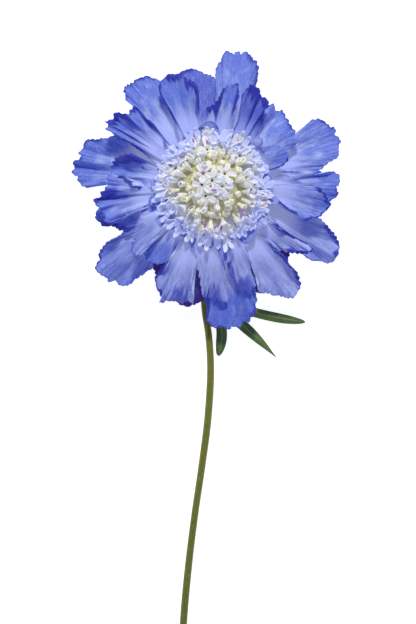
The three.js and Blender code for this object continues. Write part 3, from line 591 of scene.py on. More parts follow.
# Distances from the bloom's middle: over which a lobe's spread foot narrows, the places along its rim come
# closer together and its teeth grow in.
FOOT_ZONE = (12, 22)
FINE_ZONE = (13, 22)
TOOTH_ZONE = (17, 25)

# The height between rays and disc rises gently outwards from the hub, and steeply beyond the disc's edge.
PARTING_SLOPE, PARTING_STEEP_SLOPE, PARTING_STEEP_RADIUS = 0.1, 1.3, 17.8
# The middle of a lobe's thickness stays at least so far under the rays' ceiling, and over the ground.
LOBE_HEADROOM, LOBE_LOWEST = 0.3, 0.22
LYING_SOFTNESS = 0.1

# The small inner lobes. Their ripples' seeds and their streaks' numbers start beyond those of the large ones.
INNER_SEED = 53
INNER_RIPPLE_SEED = 401
INNER_LOBES = 27
INNER_FIRST_NUMBER = 40
INNER_ROWS, INNER_COLUMNS = 16, 56
INNER_THICKNESS = 0.2
INNER_FOOT_RADIUS = 11.0
INNER_SWAY_ZONE = (11, 19)

# The ring that the small inner lobes grow from: radius and height, from its foot up.
INNER_RING = ((8.0, 11.8), (10.3, 12.8), (12.2, 12.6), (12.4, 13.2), (9.4, 14.8))
INNER_RING_FOOT_Z, INNER_RING_TOP_Z = 11.8, 14.9
INNER_RING_STEPS, INNER_RING_RIBS, INNER_RIB_DEPTH = 60, 15, 0.2


def parting_height(radius):
    """Rays stay under this height, and the disc's florets over it."""
    gentle = PARTING_SLOPE * np.maximum(radius - HUB_RADIUS, 0)
    steep = PARTING_STEEP_SLOPE * np.maximum(radius - PARTING_STEEP_RADIUS, 0)
    return HUB_TOP_Z + CLEARANCE / 2 + gentle + steep


def lying(height, lowest):
    """The height, eased so that it never comes under the lowest one."""
    over = height - lowest
    return lowest + 0.5 * (over + np.sqrt(over * over + LYING_SOFTNESS))


def ripple(x, y, seed):
    """Smooth noise of -1 to 1 over two coordinates, the same on each run."""
    x, y = np.broadcast_arrays(np.asarray(x, float), np.asarray(y, float))
    column, row = np.floor(x), np.floor(y)
    right, up = smooth(x - column), smooth(y - row)

    def corner(i, j):
        spread = np.sin(i * 127.1 + j * 311.7 + seed * 74.7) * 43758.5453
        return 2 * (spread - np.floor(spread)) - 1
    low = mix(corner(column, row), corner(column + 1, row), right)
    high = mix(corner(column, row + 1), corner(column + 1, row + 1), right)
    return mix(low, high, up)


def crenate(run, pitch, seed):
    """0 on the round of each tooth and up to 1 in the sharp notches between them, along an edge in mm."""
    drift = 2.6 * ripple(run / 3.1, 0.5, seed)
    uneven = 0.6 + 0.4 * ripple(run / 1.9, 7.5, seed)
    return (1 - np.abs(np.sin(math.pi * run / pitch + drift))) * uneven


def spread_foot(outline):
    """The outline with its foot drawn apart, so that neighbouring lobes overlap there."""
    outline = np.asarray(outline, float)
    side = np.sign(np.linspace(1, -1, len(outline)))
    apart = FOOT_SPREAD * (1 - rise(np.linalg.norm(outline, axis=1), *FOOT_ZONE))
    return outline + (side * apart)[:, None] * left_of(unit(outline.mean(axis=0)))


def inward_of(edge):
    """The directions in plan that lead into the lobe from each place on its edge."""
    run = unit(np.gradient(edge, axis=0))
    return np.stack([run[:, 1], -run[:, 0]], -1)


def lobe_rim(lobe, seed, columns):
    """The lobe's edge, from the left of its root over its tip to the right.

    Gives the toothed edge, the plain one, how deep each place of it is cut, the way along it (-1 to 1) of
    each place and of the outline's own points, and its length in mm.
    """
    dense, length, marks = smooth_line(spread_foot(lobe["outline"]))
    weight = 0.3 + rise(np.linalg.norm(dense, axis=1), *FINE_ZONE)
    share = np.concatenate([[0], np.cumsum(np.diff(length) * (weight[1:] + weight[:-1]) / 2)])
    even = np.interp(np.linspace(0, share[-1], columns), share, length)
    plain = np.stack([np.interp(even, length, dense[:, axis]) for axis in (0, 1)], -1)

    outer = rise(np.linalg.norm(plain, axis=1), *TOOTH_ZONE)
    teeth = sizes().petal_teeth / MM * outer * (0.65 + 0.35 * smooth(ripple(even / 6, 0.5, seed) + 0.6))
    notch = crenate(even, TOOTH_PITCH, seed) * (0.8 + 0.9 * smooth(ripple(even / 2.3, 5.5, seed) * 1.2))
    jags = 0.5 * ripple(even / 0.9, 1.5, seed + 9) + 0.5 * ripple(even / 2.4, 2.5, seed)
    cut = teeth * (0.9 * notch + jags * (1.0 + 0.9 * ripple(even / 5.0, 8.5, seed)))
    toothed = plain + inward_of(plain) * (cut - 0.3 * teeth)[:, None]
    total = length[-1]
    return toothed, plain, notch * outer, 2 * even / total - 1, 2 * marks / total - 1, total


def lobe_grid(lobe, seed, rows=LOBE_ROWS, columns=LOBE_COLUMNS):
    """The lobe's middle surface as place[row, column], and what its finish needs at each place."""
    rim, plain, notch, across, marks, length = lobe_rim(lobe, seed, columns)
    marks = marks * length / 2

    # The plan: the rows fan out from the root and take on the teeth only near the rim.
    along = 1 - (1 - np.linspace(0, 1, rows)[:, None]) ** ROW_CROWDING
    root = unit((plain[0] + plain[-1]) / 2) * LOBE_ROOT_RADIUS
    third = len(lobe["outline"]) // 3
    tip = np.mean(lobe["outline"][third:len(lobe["outline"]) - third], axis=0)
    ahead = unit(tip - root)
    left = left_of(ahead)

    def fanned(edge):
        reach, aside = (edge - root) @ ahead, (edge - root) @ left
        start = -across * LOBE_ROOT_HALF
        fan = start + (aside - start) * along**LOBE_FAN
        return root + (reach * along)[..., None] * ahead + fan[..., None] * left, reach * along
    toothed, _ = fanned(rim)
    flat, reach = fanned(plain)
    plan = flat + (toothed - flat) * (along**5)[..., None]
    share = reach / reach.max()
    along, across, notch = np.broadcast_arrays(along, across, notch)
    broad = across * length / 2

    # The ink and painted shade: bands of uneven width along the rim, where it rolls over or lies in a
    # neighbour's shade, and a little painted shade in the notches.
    to_rim = np.abs(((plain[None] - flat) * inward_of(plain)[None]).sum(-1))
    ink = np.zeros_like(share)
    for first, last, wide, depth in lobe["bands"]:
        inside = smooth((broad - marks[first]) / 2 + 0.5) * smooth((marks[last] - broad) / 2 + 0.5)
        uneven = 0.7 + 0.5 * ripple(broad / 1.7, reach / 5, seed + 6) + 0.5 * ripple(broad / 0.6, 0.5, seed)
        ink = np.maximum(ink, depth * inside * smooth((wide * uneven - to_rim) / (0.6 * wide) + 0.5))
    curl = 0.9 * ink
    ink = np.maximum(ink, 0.3 * notch * rise(along, 0.85, 1))

    # The height: a bow from root to tip, the lobe's own form and folds, crumples and a waved rim.
    root_z = LOBE_ROOT_Z + TIER_STEP * lobe["tier"]
    bowed = on_curve(root_z, lobe["bow"], lobe["end"], share)
    shaped = lobe["cup"] * np.abs(across) * (along**2 - 0.3) + lobe["twist"] * across
    pleated = 0.6 * lobe["pleat"] * np.sin(math.pi * lobe["pleats"] * 2 * across + lobe["phase"])
    creased = np.zeros_like(share)
    for mark, tall, breadth in lobe["creases"]:
        away = np.abs(broad - marks[mark] + 0.5 * ripple(reach / 4, mark, seed)) / breadth
        creased += tall * np.maximum(1 - away, 0) ** 1.3
    strength = sizes().petal_ruffle * lobe["ruffle"] * math.sqrt(min(1, length / LONG_RIM))
    crumple = strength * (0.95 * ripple(plan[..., 0] / 5.0, plan[..., 1] / 5.0, seed + 2)
                          + 0.22 * ripple(broad / 2.2, reach / 5.0, seed + 3)
                          + 0.12 * ripple(plan[..., 0] / 1.5, plan[..., 1] / 1.5, seed + 4))
    rim_wave = 0.8 * strength * ripple(broad / 1.9, 0.5, seed + 5) * rise(along, 0.6, 1) ** 1.5
    slots = 0.35 * notch * sizes().petal_teeth / MM * rise(along, 0.7, 1)
    folded = (shaped + pleated + creased * strength**0.5 + crumple) * rise(along, 0.2, 1)
    height = lying(bowed + folded + rim_wave + curl - slots, LOBE_LOWEST)
    ceiling = parting_height(np.hypot(plan[..., 0], plan[..., 1])) - CLEARANCE / 2 - LOBE_HEADROOM
    place = np.concatenate([plan, np.minimum(height, ceiling)[..., None]], -1)

    return place, {
        "along": 0.7 * share + 0.3 * along, "rim": to_rim, "ink": ink, "tone": lobe["tone"],
        "grain_x": broad, "grain_y": reach,
    }


def petal_material():
    """Thin blue petal: pale at its foot, streaked lengthwise, with ink and painted shade in its folds and at
    its rim, painted light and shade by its tone, and a painted glow.
    """
    board = Board("ray_petal_finish")
    tones = colours()
    along = board.attribute("along")
    rim = board.attribute("rim")
    ink = board.attribute("ink")
    back = board.attribute("back")
    tone = board.attribute("tone")
    grain = board.node("ShaderNodeCombineXYZ", {}, {
        "X": board.attribute("grain_x"), "Y": board.attribute("grain_y"), "Z": board.attribute("lobe")})
    streak = board.noise(grain, 1.0, 4.0, (1.5, 0.20, 7.3))
    fine = board.noise(grain, 1.0, 4.0, (3.6, 0.55, 3.1))
    cloud = board.noise(grain, 1.0, 3.0, (0.30, 0.17, 5.0))
    patch = board.noise(grain, 1.0, 3.0, (0.75, 0.30, 2.0))
    grit = board.noise(grain, 1.0, 3.0, (5.5, 2.2, 1.0))

    # Pale to deep towards the edge, then paler or deeper as a whole by the lobe's tone, which is partly
    # painted light and shade; where it makes a lobe paler, painted highlights come in patches.
    stops = [
        (0.0, tones.petal_pale), (0.37, tones.petal_pale),
        (0.57, tones.petal_light), (0.81, tones.petal_deep)]
    uneven = along + (cloud - 0.5) * 1.3 + (patch - 0.5) * 0.45
    base = board.node("ShaderNodeValToRGB", {"stops": stops}, {0: uneven})
    paler = board.mix(tone.between(0.0, 1.0) * (0.5 + 0.6 * patch.between(0.35, 0.6)), base, tones.petal_pale)
    deep = board.mix(tone.between(0.0, -1.0) * 0.9, paler, tones.petal_deep)
    # The ink, which turns to a purple painted shade on the lobes under the others.
    dark = board.mix(tone.between(-1.2, -1.7), tones.petal_ink_and_shade, tones.petal_purple_shade)
    deeper = board.mix(tone.between(-0.5, -1.5) * 0.75, deep, dark)

    # Streaks and grain.
    streaked = board.mix(streak.between(0.46, 0.74) * 0.36 * (0.3 + 0.7 * along), deeper, tones.petal_deep)
    veined = board.mix(fine.between(0.50, 0.66) * 0.3, streaked, tones.petal_pale)
    grained = board.mix(grit.between(0.48, 0.36) * 0.35, veined, tones.petal_deep)
    lit = board.mix(grit.between(0.54, 0.66) * 0.35, grained, tones.petal_pale)

    # Ink and painted shade along the rim and in the folds, and ink on the back.
    edge = rim.between(0.6, 0.0) * (0.3 + 0.4 * ink) * (0.25 + 0.75 * along.between(0.15, 0.6))
    edge = edge * (1.0 - 0.7 * tone.between(0.5, 1.0)) + rim.between(0.5, 0.0) * tone.between(0.1, -0.8) * 0.5
    rim_ink_and_shade = board.mix(edge, lit, dark)
    shade = board.mix((ink * (0.5 + 1.0 * fine)).between(0.05, 0.8), rim_ink_and_shade, dark)
    turned = board.mix(back * 0.45, shade, dark)

    # The foot takes a deeper colour of its own, and a pale painted glow in place of the light that comes
    # through it, which lifts its shade.
    foot = along.between(0.68, 0.42) * tone.between(-1.4, -0.6)
    softer = board.mix(foot * 0.85, turned, tones.petal_foot)
    glow = board.mix(foot, tones.petal_painted_glow, tones.petal_painted_foot_glow)
    return board.finish({
        "Base Color": softer,
        "Roughness": 0.55 + 0.15 * fine,
        "Normal": board.bump(streak * 0.5 + fine * 0.35 + grit * 0.3, 0.0004, 0.9),
        "Specular IOR Level": 0.25,
        "Subsurface Weight": 0.4,
        "Subsurface Radius": (0.45, 0.5, 1.0),
        "Subsurface Scale": 0.0005,
        # Painted glow that lifts the petals' shade: blue, pale at the foot and dark where inked.
        "Emission Color": board.mix((ink - 0.3 * tone).between(0.1, 0.7) * (1.0 - 0.6 * foot), glow, dark),
        "Emission Strength": 0.23,
        "Sheen Weight": 0.1,
        "Sheen Roughness": 0.5,
    })


class FLOWER_OT_ray_florets(Operator):
    """Build the blue lobes of the ray florets"""

    bl_idname = "flower.ray_florets"
    bl_label = "Ray florets"

    def execute(self, context):
        material = petal_material()
        draw = draws_from(RAY_SEED)
        for number, row in enumerate(LOBES):
            lobe = dict(zip(LOBE_KEYS, row))
            lobe["cup"] = draw(-0.6, 1.4)
            lobe["twist"] = draw(-0.9, 0.9)
            lobe["pleat"] = draw(0.25, 0.6)
            lobe["pleats"] = draw(1.6, 2.4)
            lobe["phase"] = draw(0, TAU)
            place, finish = lobe_grid(lobe, number * LOBE_SEED_STEP)
            thickness = sizes().petal_thickness / MM * (0.55 + 0.45 * rise(finish["rim"], 0, 0.8))
            shape = Shape()
            sheet_solid(shape, place, thickness, lobe=number, **finish)
            shape.piece("ray_" + lobe["name"], material, "ray_petal", "ray_florets")
        self.build_inner_lobes(material)
        return {"FINISHED"}

    def build_inner_lobes(self, material):
        """The rays' small inner lobes, which close the ring between the large ones and the disc."""
        draw = draws_from(INNER_SEED)
        shape = Shape()
        for number in range(INNER_LOBES):
            angle = TAU * (number + draw(-0.3, 0.3)) / INNER_LOBES
            out = np.array([math.cos(angle), math.sin(angle)])
            reach, half, sway = draw(16.6, 20.5), draw(1.1, 2.2), draw(-1.2, 1.2)
            foot, middle = INNER_FOOT_RADIUS, 0.5 * (reach + INNER_FOOT_RADIUS)
            corners = (
                (foot, 0.8), (middle, 0.95), (reach - 1.6, 0.9), (reach - 0.3, 0.5), (reach, 0.0),
                (reach - 0.4, -0.5), (reach - 1.7, -0.9), (middle, -0.95), (foot, -0.8))
            outline = [out * far + left_of(out) * (wide * half + sway * rise(far, *INNER_SWAY_ZONE))
                       for far, wide in corners]
            lobe = {
                "outline": outline, "tier": draw(3.4, 4.3), "bow": 15.3, "end": draw(14.2, 15.8),
                "tone": draw(0.3, 1.0), "ruffle": 0.35, "bands": [], "creases": [],
                "cup": draw(-0.3, 0.6), "twist": draw(-0.4, 0.4),
                "pleat": 0.1, "pleats": draw(1, 2), "phase": draw(0, TAU)}
            seed = INNER_RIPPLE_SEED + number * LOBE_SEED_STEP
            place, finish = lobe_grid(lobe, seed, INNER_ROWS, INNER_COLUMNS)
            finish["rim"] = finish["rim"] + 0.4
            sheet_solid(shape, place, INNER_THICKNESS, lobe=INNER_FIRST_NUMBER + number, **finish)

        turn = turns(INNER_RING_STEPS)
        ribs = INNER_RIB_DEPTH * np.sin(INNER_RING_RIBS * turn)
        rings = np.stack([hoop(radius + ribs, height, turn) for radius, height in INNER_RING])
        turned_solid(shape, rings, (0, 0, INNER_RING_FOOT_Z), (0, 0, INNER_RING_TOP_Z),
                     along=0.1, rim=9, ink=0, tone=0.4, grain_x=0, grain_y=0, lobe=0, back=0)
        shape.piece("ray_inner_lobes", material, "ray_petal", "ray_florets")


# ---------------------------------------------------------------- disc florets
# Florets given one by one: x and y from the bloom's middle, kind, turn of the first lobe in degrees, lobe
# length.
SET_FLORETS = [
    (-0.3, 1.9, "open", 78, 3.0), (-3.3, 0.7, "open", 180, 3.0), (0.9, -2.6, "open", 270, 3.0),
    (-3.1, 4.1, "open", 124, 2.9), (2.8, 0.1, "open", 5, 3.0), (3.6, 4.1, "open", 66, 3.0),
    (-2.2, -2.8, "open", 196, 2.9), (8.1, 5.4, "bud", 0, 1.5), (1.2, 10.2, "half", 0, 1.7),
    (-1.8, 11.5, "open", 100, 3.1), (8.1, 9.6, "open", 40, 3.6), (-7.8, 9.0, "open", 130, 2.9),
    (-11.3, 5.9, "open", 190, 3.1), (-11.5, -0.9, "half", 0, 1.8), (12.5, 4.0, "open", 20, 4.0),
    (12.8, 0.9, "open", -10, 4.1), (8.4, -5.4, "half", 0, 1.7), (5.0, -6.6, "bud", 0, 1.3),
    (-0.2, -8.7, "bud", 0, 1.35), (-5.5, -8.4, "bud", 0, 1.4), (-9.6, -7.8, "bud", 0, 1.35),
    (4.8, -12.4, "half", 0, 2.2), (-6.0, -10.9, "half", 0, 1.7), (-13.7, -5.3, "open", 200, 3.4),
    (0.0, 5.9, "bud", 0, 1.05), (5.6, 1.9, "bud", 0, 1.15), (-6.0, 2.6, "bud", 0, 1.1),
    (3.9, -4.6, "half", 0, 1.3),
]
# Anthers given one by one: x and y from the bloom's middle and turn in degrees.
SET_ANTHERS = [
    (-14.4, 1.8, 10), (-14.1, -3.9, 40), (-9.3, 0.9, -28), (2.4, 13.9, -60), (15.6, -3.7, 5),
    (11.2, -4.9, 8), (-6.0, 14.2, -75), (-3.0, 4.3, 0), (-7.5, 8.1, 20), (-12.7, 8.0, -50),
    (9.0, -6.6, 30), (-10.2, -10.1, 20), (-9.1, 9.4, 15), (0.3, -0.9, 0), (-2.3, -11.6, 60),
    (6.1, 10.9, 30), (8.4, -8.2, 75), (-6.6, -6.1, 30),
]

# The other florets stand on a spiral, where those listed above leave them space enough.
DISC_SEED = 23
SPIRAL_STEP = 1.2
SPIRAL_TURN = math.radians(137.508)
SPIRAL_FIRST, SPIRAL_LAST = 12, 172
SPACING_RADIUS, SPACING_INSIDE, SPACING_OUTSIDE = 10, 1.35, 1.6

# Inside the heart are buds and half open florets, in the belt round it mostly half open ones, and outside it
# fans, whose lobes end between the disc's edge and its fringe. A kind is taken while the chance that is drawn
# lies under its number.
HEART_RADIUS, HEART_GAP, HEART_BUD = 9.0, 0.12, 0.62
BELT_RADIUS, BELT_BUD, BELT_HALF = 11.6, 0.15, 0.75
EDGE_RADIUS, FRINGE, EDGE_HALF = 16.0, 3.0, 0.22
OUTER_ANTHERS_RADIUS, OUTER_ANTHER = 11, 0.2

# Distances from the bloom's middle over which the florets turn lilac, some of them paler, and their outward
# lobes grow longer.
LILAC_ZONE = (9, 13.5)
PALER_ZONE = (9, 11)
OUTWARD_ZONE = (8, 13)

# The dome that the florets' mouths lie on, and how far everything of the disc stays over its own foot.
DOME_TOP_Z, DOME_FALL = 24.2, 0.040
DISC_GAP = 0.05

FLORET_DEPTH = 3.2
FLORET_LOBE_COUNT = 5
FLORET_THICKNESS = 0.2
FLORET_STEPS = 10
MOUTH_RADIUS = {"open": 0.62, "half": 0.45, "fan": 0.45}
# How much a floret leans outwards, in radians for each mm from the bloom's middle, and the most that it may.
LEAN = {"open": 0.055, "half": 0.115, "fan": 0.115, "bud": 0.085}
MOST_LEAN = 1.25
# Half breadth of a floret's lobe in mm, its rise at the mouth and how far it falls back, in radians.
FLORET_LOBES = {"open": (0.84, 0.35, 0.6), "half": (0.64, 1.35, -0.35), "fan": (0.70, 1.15, 0.35)}
# A floret's tube: radius, height over its mouth, and tone. The rings of its rim and throat have their radius
# as a share of the mouth's.
FLORET_TUBE = ((0.3, -FLORET_DEPTH, -0.6), (0.36, -1.9, -0.5), (0.55, -0.8, -0.2))
# The throat's lowest tone is painted shade deep inside it.
FLORET_THROAT = ((1.15, -0.12, 0.3), (0.8, -0.2, -0.3), (0.5, -0.7, -1.0))
FLORET_THROAT_Z = -1.1

# A bud over its foot: radius and height as shares of its head's, and tone.
BUD_NECK_RADIUS = 0.34
BUD_PROFILE = (
    (0.42, -1.75, -0.6), (0.72, -1.3, 0.0), (0.96, -0.8, 0.4), (0.98, -0.45, 0.6), (0.8, -0.16, 0.8),
    (0.5, 0.0, 0.9), (0.24, -0.05, 0.3))
BUD_CROWN_HEIGHT = -0.26
BUD_STEPS, BUD_SEAMS, BUD_SEAM_DEPTH = 20, 4, 0.13

# The core: radius and height, from its foot up.
CORE_FOOT_Z, CORE_TOP_Z = HUB_TOP_Z + CLEARANCE + DISC_GAP, 22.2
CORE_PROFILE = (
    (10.4, CORE_FOOT_Z), (11.6, 15.8), (11.5, 16.6), (9.6, 18.6), (6.6, 20.5), (3.2, 21.8), (1.0, 22.1))
CORE_STEPS = 72

ANTHER_RADIUS = 0.3
FILAMENT_RADIUS = 0.08


def floret_height(radius):
    """The height of the florets' mouths, at this distance from the bloom's middle."""
    return DOME_TOP_Z - DOME_FALL * radius * radius


def floret_lobe(shape, posed, angle, mouth, length, half, lift, fall, **values):
    """One oblong lobe of a floret, from its mouth outwards at this angle about the floret's axis."""
    along = np.linspace(0, 1, 8)[:, None]
    across = np.linspace(-1, 1, 7)[None, :]
    share = along * (1 - 0.24 * np.abs(across) ** 2.2)
    bent = lift - fall * share
    forward = mouth + length * (np.sin(lift) - np.sin(bent)) / fall
    height = length * (np.cos(bent) - np.cos(lift)) / fall
    width = half * (0.68 + 0.32 * rise(share, 0, 0.55)) * (1 - 0.3 * rise(share, 0.75, 1.1))
    spoon = 0.16 * half * (across**2 - 0.4) * (1 + 1.2 * share)
    rib = -0.05 * (1 - np.minimum(np.abs(across) * 3, 1)) * rise(share, 0, 0.3)
    aside = width * across
    place = np.stack([forward * math.cos(angle) - aside * math.sin(angle),
                      forward * math.sin(angle) + aside * math.cos(angle),
                      height + spoon + rib - 0.15], -1)
    sheet_solid(shape, posed(place), FLORET_THICKNESS,
                tone=0.25 + 0.75 * share, vein=1 - np.abs(across), **values)


def floret(shape, posed, kind, turn, length, outward, draw, lilac):
    """A floret about +Z with its mouth at the origin: a narrow tube, and its lobes round the mouth."""
    mouth = MOUTH_RADIUS[kind]
    rows = FLORET_TUBE + tuple((mouth * share, height, tone) for share, height, tone in FLORET_THROAT)
    radii, heights, tones = np.array(rows).T[..., None]
    rings = hoop(radii, heights, turns(FLORET_STEPS))
    foot, throat = np.array([0, 0, -FLORET_DEPTH]), np.array([0, 0, FLORET_THROAT_Z])
    turned_solid(shape, posed(rings), posed(foot), posed(throat), tone=tones, vein=0, lilac=lilac, back=0)
    half, lift, fall = FLORET_LOBES[kind]
    for step in range(FLORET_LOBE_COUNT):
        angle = turn + TAU * (step + draw(-0.09, 0.09)) / FLORET_LOBE_COUNT
        longer = 1 + outward * math.cos(angle)
        reach = length * longer * draw(0.8, 1.15)
        floret_lobe(shape, posed, angle, mouth, reach, draw(0.92, 1.1) * half * (0.8 + 0.2 * longer),
                    lift + draw(-0.15, 0.15), fall + draw(-0.2, 0.2), lilac=lilac + draw(-0.2, 0.2))


def bud(shape, posed, size, seam_turn, tall, lilac):
    """An unopened floret about +Z: a round head with the seams of its folded lobes, on a short neck."""
    turn = turns(BUD_STEPS)
    seam = BUD_SEAM_DEPTH * size * (1 - np.abs(np.cos(turn * BUD_SEAMS / 2 + seam_turn))) ** 2
    head = tuple((radius, share * tall, tone) for radius, share, tone in BUD_PROFILE)
    radii, heights, tones = np.array(((BUD_NECK_RADIUS, -FLORET_DEPTH, -1.0),) + head).T[..., None]
    rings = hoop(radii * size - 1.4 * seam * (radii > 0.45), heights, turn)
    foot, crown = np.array([0, 0, -FLORET_DEPTH]), np.array([0, 0, BUD_CROWN_HEIGHT * size])
    turned_solid(shape, posed(rings), posed(foot), posed(crown), tone=tones, lilac=lilac)


def set_on_dome(x, y, lean, height):
    """Takes points made about +Z, with +X outwards, to this place on the dome, leaning outwards."""
    away = math.atan2(y, x)
    tilt = np.array([[math.cos(lean), 0, math.sin(lean)], [0, 1, 0], [-math.sin(lean), 0, math.cos(lean)]])
    face = np.array([[math.cos(away), -math.sin(away), 0], [math.sin(away), math.cos(away), 0], [0, 0, 1]])
    whole = face @ tilt

    def posed(points):
        points = np.asarray(points, float) @ whole.T + np.array([x, y, height])
        lowest = parting_height(np.hypot(points[..., 0], points[..., 1])) + CLEARANCE / 2 + DISC_GAP
        points[..., 2] = lowest + lying(points[..., 2] - lowest, 0)
        return points
    return posed


def floret_material():
    """White to lilac open florets with a yellow-green throat that turns to painted shade deep inside, and a
    painted glow.
    """
    board = Board("disc_floret_finish")
    tones = colours()
    tone = board.attribute("tone")
    lilac = board.attribute("lilac")
    vein = board.attribute("vein")
    mottle = board.noise(board.place(), 900.0, 3.0)
    throat = board.mix(tone.between(-0.6, 0.3), tones.bud_green, tones.floret_white)
    # Painted shade deep in the throat.
    throat = board.mix(tone.between(-0.5, -0.9) * 0.8, throat, tones.floret_throat_shade)
    veined = board.mix(vein.between(0.5, 1.0) * 0.25, throat, tones.floret_lilac)
    tipped = (lilac * (0.35 + 0.65 * tone.between(0.2, 1.0))).between(0.0, 1.0)
    tips = board.mix(tipped, veined, tones.floret_lilac)
    creamy = board.mix(lilac.between(0.1, -0.6) * 0.8, tips, tones.bud_cream)
    worn = board.mix(mottle.between(0.6, 0.85) * 0.25, creamy, tones.bud_cream)
    return board.finish({
        "Base Color": worn,
        "Roughness": 0.5 + 0.2 * mottle,
        "Normal": board.bump(mottle, 0.0001, 0.4),
        "Specular IOR Level": 0.3,
        # Painted glow: the floret emits its own colour, which lifts its shade.
        "Emission Color": worn,
        "Emission Strength": 0.33,
        "Subsurface Weight": 0.6,
        "Subsurface Radius": (0.8, 0.85, 1.0),
        "Subsurface Scale": 0.001,
    })


def bud_material():
    """Cream buds that turn green towards their necks."""
    board = Board("disc_bud_finish")
    tones = colours()
    tone = board.attribute("tone")
    lilac = board.attribute("lilac")
    mottle = board.noise(board.place(), 700.0, 3.0)
    body = board.mix(tone.between(-0.5, 0.45), tones.bud_green, tones.bud_cream)
    top = board.mix(tone.between(0.55, 1.0) * (0.3 + 0.7 * lilac), body, tones.floret_white)
    worn = board.mix(mottle.between(0.55, 0.85) * 0.3, top, tones.bud_green)
    return board.finish({
        "Base Color": worn,
        "Roughness": 0.5 + 0.15 * mottle,
        "Normal": board.bump(mottle, 0.0001, 0.4),
        "Specular IOR Level": 0.3,
        # Painted glow: the bud emits its own colour, which lifts its shade.
        "Emission Color": worn,
        "Emission Strength": 0.22,
        "Subsurface Weight": 0.6,
        "Subsurface Radius": (1.0, 0.95, 0.6),
        "Subsurface Scale": 0.001,
    })


def core_material():
    """The crowded lower parts of the florets: painted shade in patches between them, bluer at the outside,
    and a painted glow.
    """
    board = Board("disc_core_finish")
    tones = colours()
    outer = board.attribute("outer")
    place = board.place()
    cells = board.node("ShaderNodeTexVoronoi", {}, {"Vector": place, "Scale": 900.0})
    mottle = board.noise(place, 500.0, 3.0)
    shade = board.mix(cells.between(0.1, 0.7), tones.bud_green, tones.core_shade)
    # Bluer at the outside, where it stands for the blue petals and their shade seen between the outer
    # florets.
    blued = board.mix(outer * 0.9, shade, tones.floret_lilac)
    shown = board.mix(mottle.between(0.4, 0.8) * (0.5 - 0.4 * outer), blued, tones.bud_cream)
    return board.finish({
        "Base Color": shown,
        "Roughness": 0.7 + 0.2 * mottle,
        "Normal": board.bump(cells, 0.0004, 0.8),
        # Painted glow: the core emits its own colour, which lifts its shade.
        "Emission Color": shown,
        "Emission Strength": 0.3,
    })


def anther_material():
    """Mauve anthers, dusted paler."""
    board = Board("anther_finish")
    tones = colours()
    dust = board.noise(board.place(), 2200.0, 2.0)
    return board.finish({
        "Base Color": board.mix(dust.between(0.5, 0.75), tones.anther_mauve, tones.floret_white),
        "Roughness": 0.6 + 0.2 * dust,
    })


def filament_material():
    """Pale, slightly lilac filaments and styles."""
    board = Board("filament_finish")
    tones = colours()
    cloud = board.noise(board.place(), 400.0, 2.0)
    return board.finish({
        "Base Color": board.mix(cloud, tones.floret_white, tones.floret_lilac),
        "Roughness": 0.4 + 0.2 * cloud,
        "Subsurface Weight": 0.3,
        "Subsurface Radius": (1.0, 1.0, 1.0),
        "Subsurface Scale": 0.0003,
    })


def bean(shape, middle, axis, length, radius):
    """A small closed bean of this length along its axis."""
    axis = unit(np.asarray(axis, float))
    side = unit(np.cross(axis, (0.3, 0.5, 0.81)))
    over = np.cross(axis, side)
    t = np.linspace(0.12, math.pi - 0.12, 7)[:, None]
    line = middle - axis * np.cos(t) * length / 2
    rings = tube(line, side[None], over[None], radius * np.sin(t) ** 0.8, turns(10))
    turned_solid(shape, rings, middle - axis * length / 2, middle + axis * length / 2)


def thread(shape, start, end, sag, radius):
    """A fine closed thread that bows between two places and thins towards its end."""
    t = np.linspace(0, 1, 7)[:, None]
    line = start * (1 - t) + end * t + np.asarray(sag) * 4 * t * (1 - t)
    run = unit(np.gradient(line, axis=0))
    side = unit(np.cross(run, (0.31, 0.52, 0.79)))
    rings = tube(line, side, np.cross(run, side), radius * (1 - 0.35 * t), turns(6))
    turned_solid(shape, rings, line[0] - run[0] * radius * 0.3, line[-1] + run[-1] * radius * 0.3)


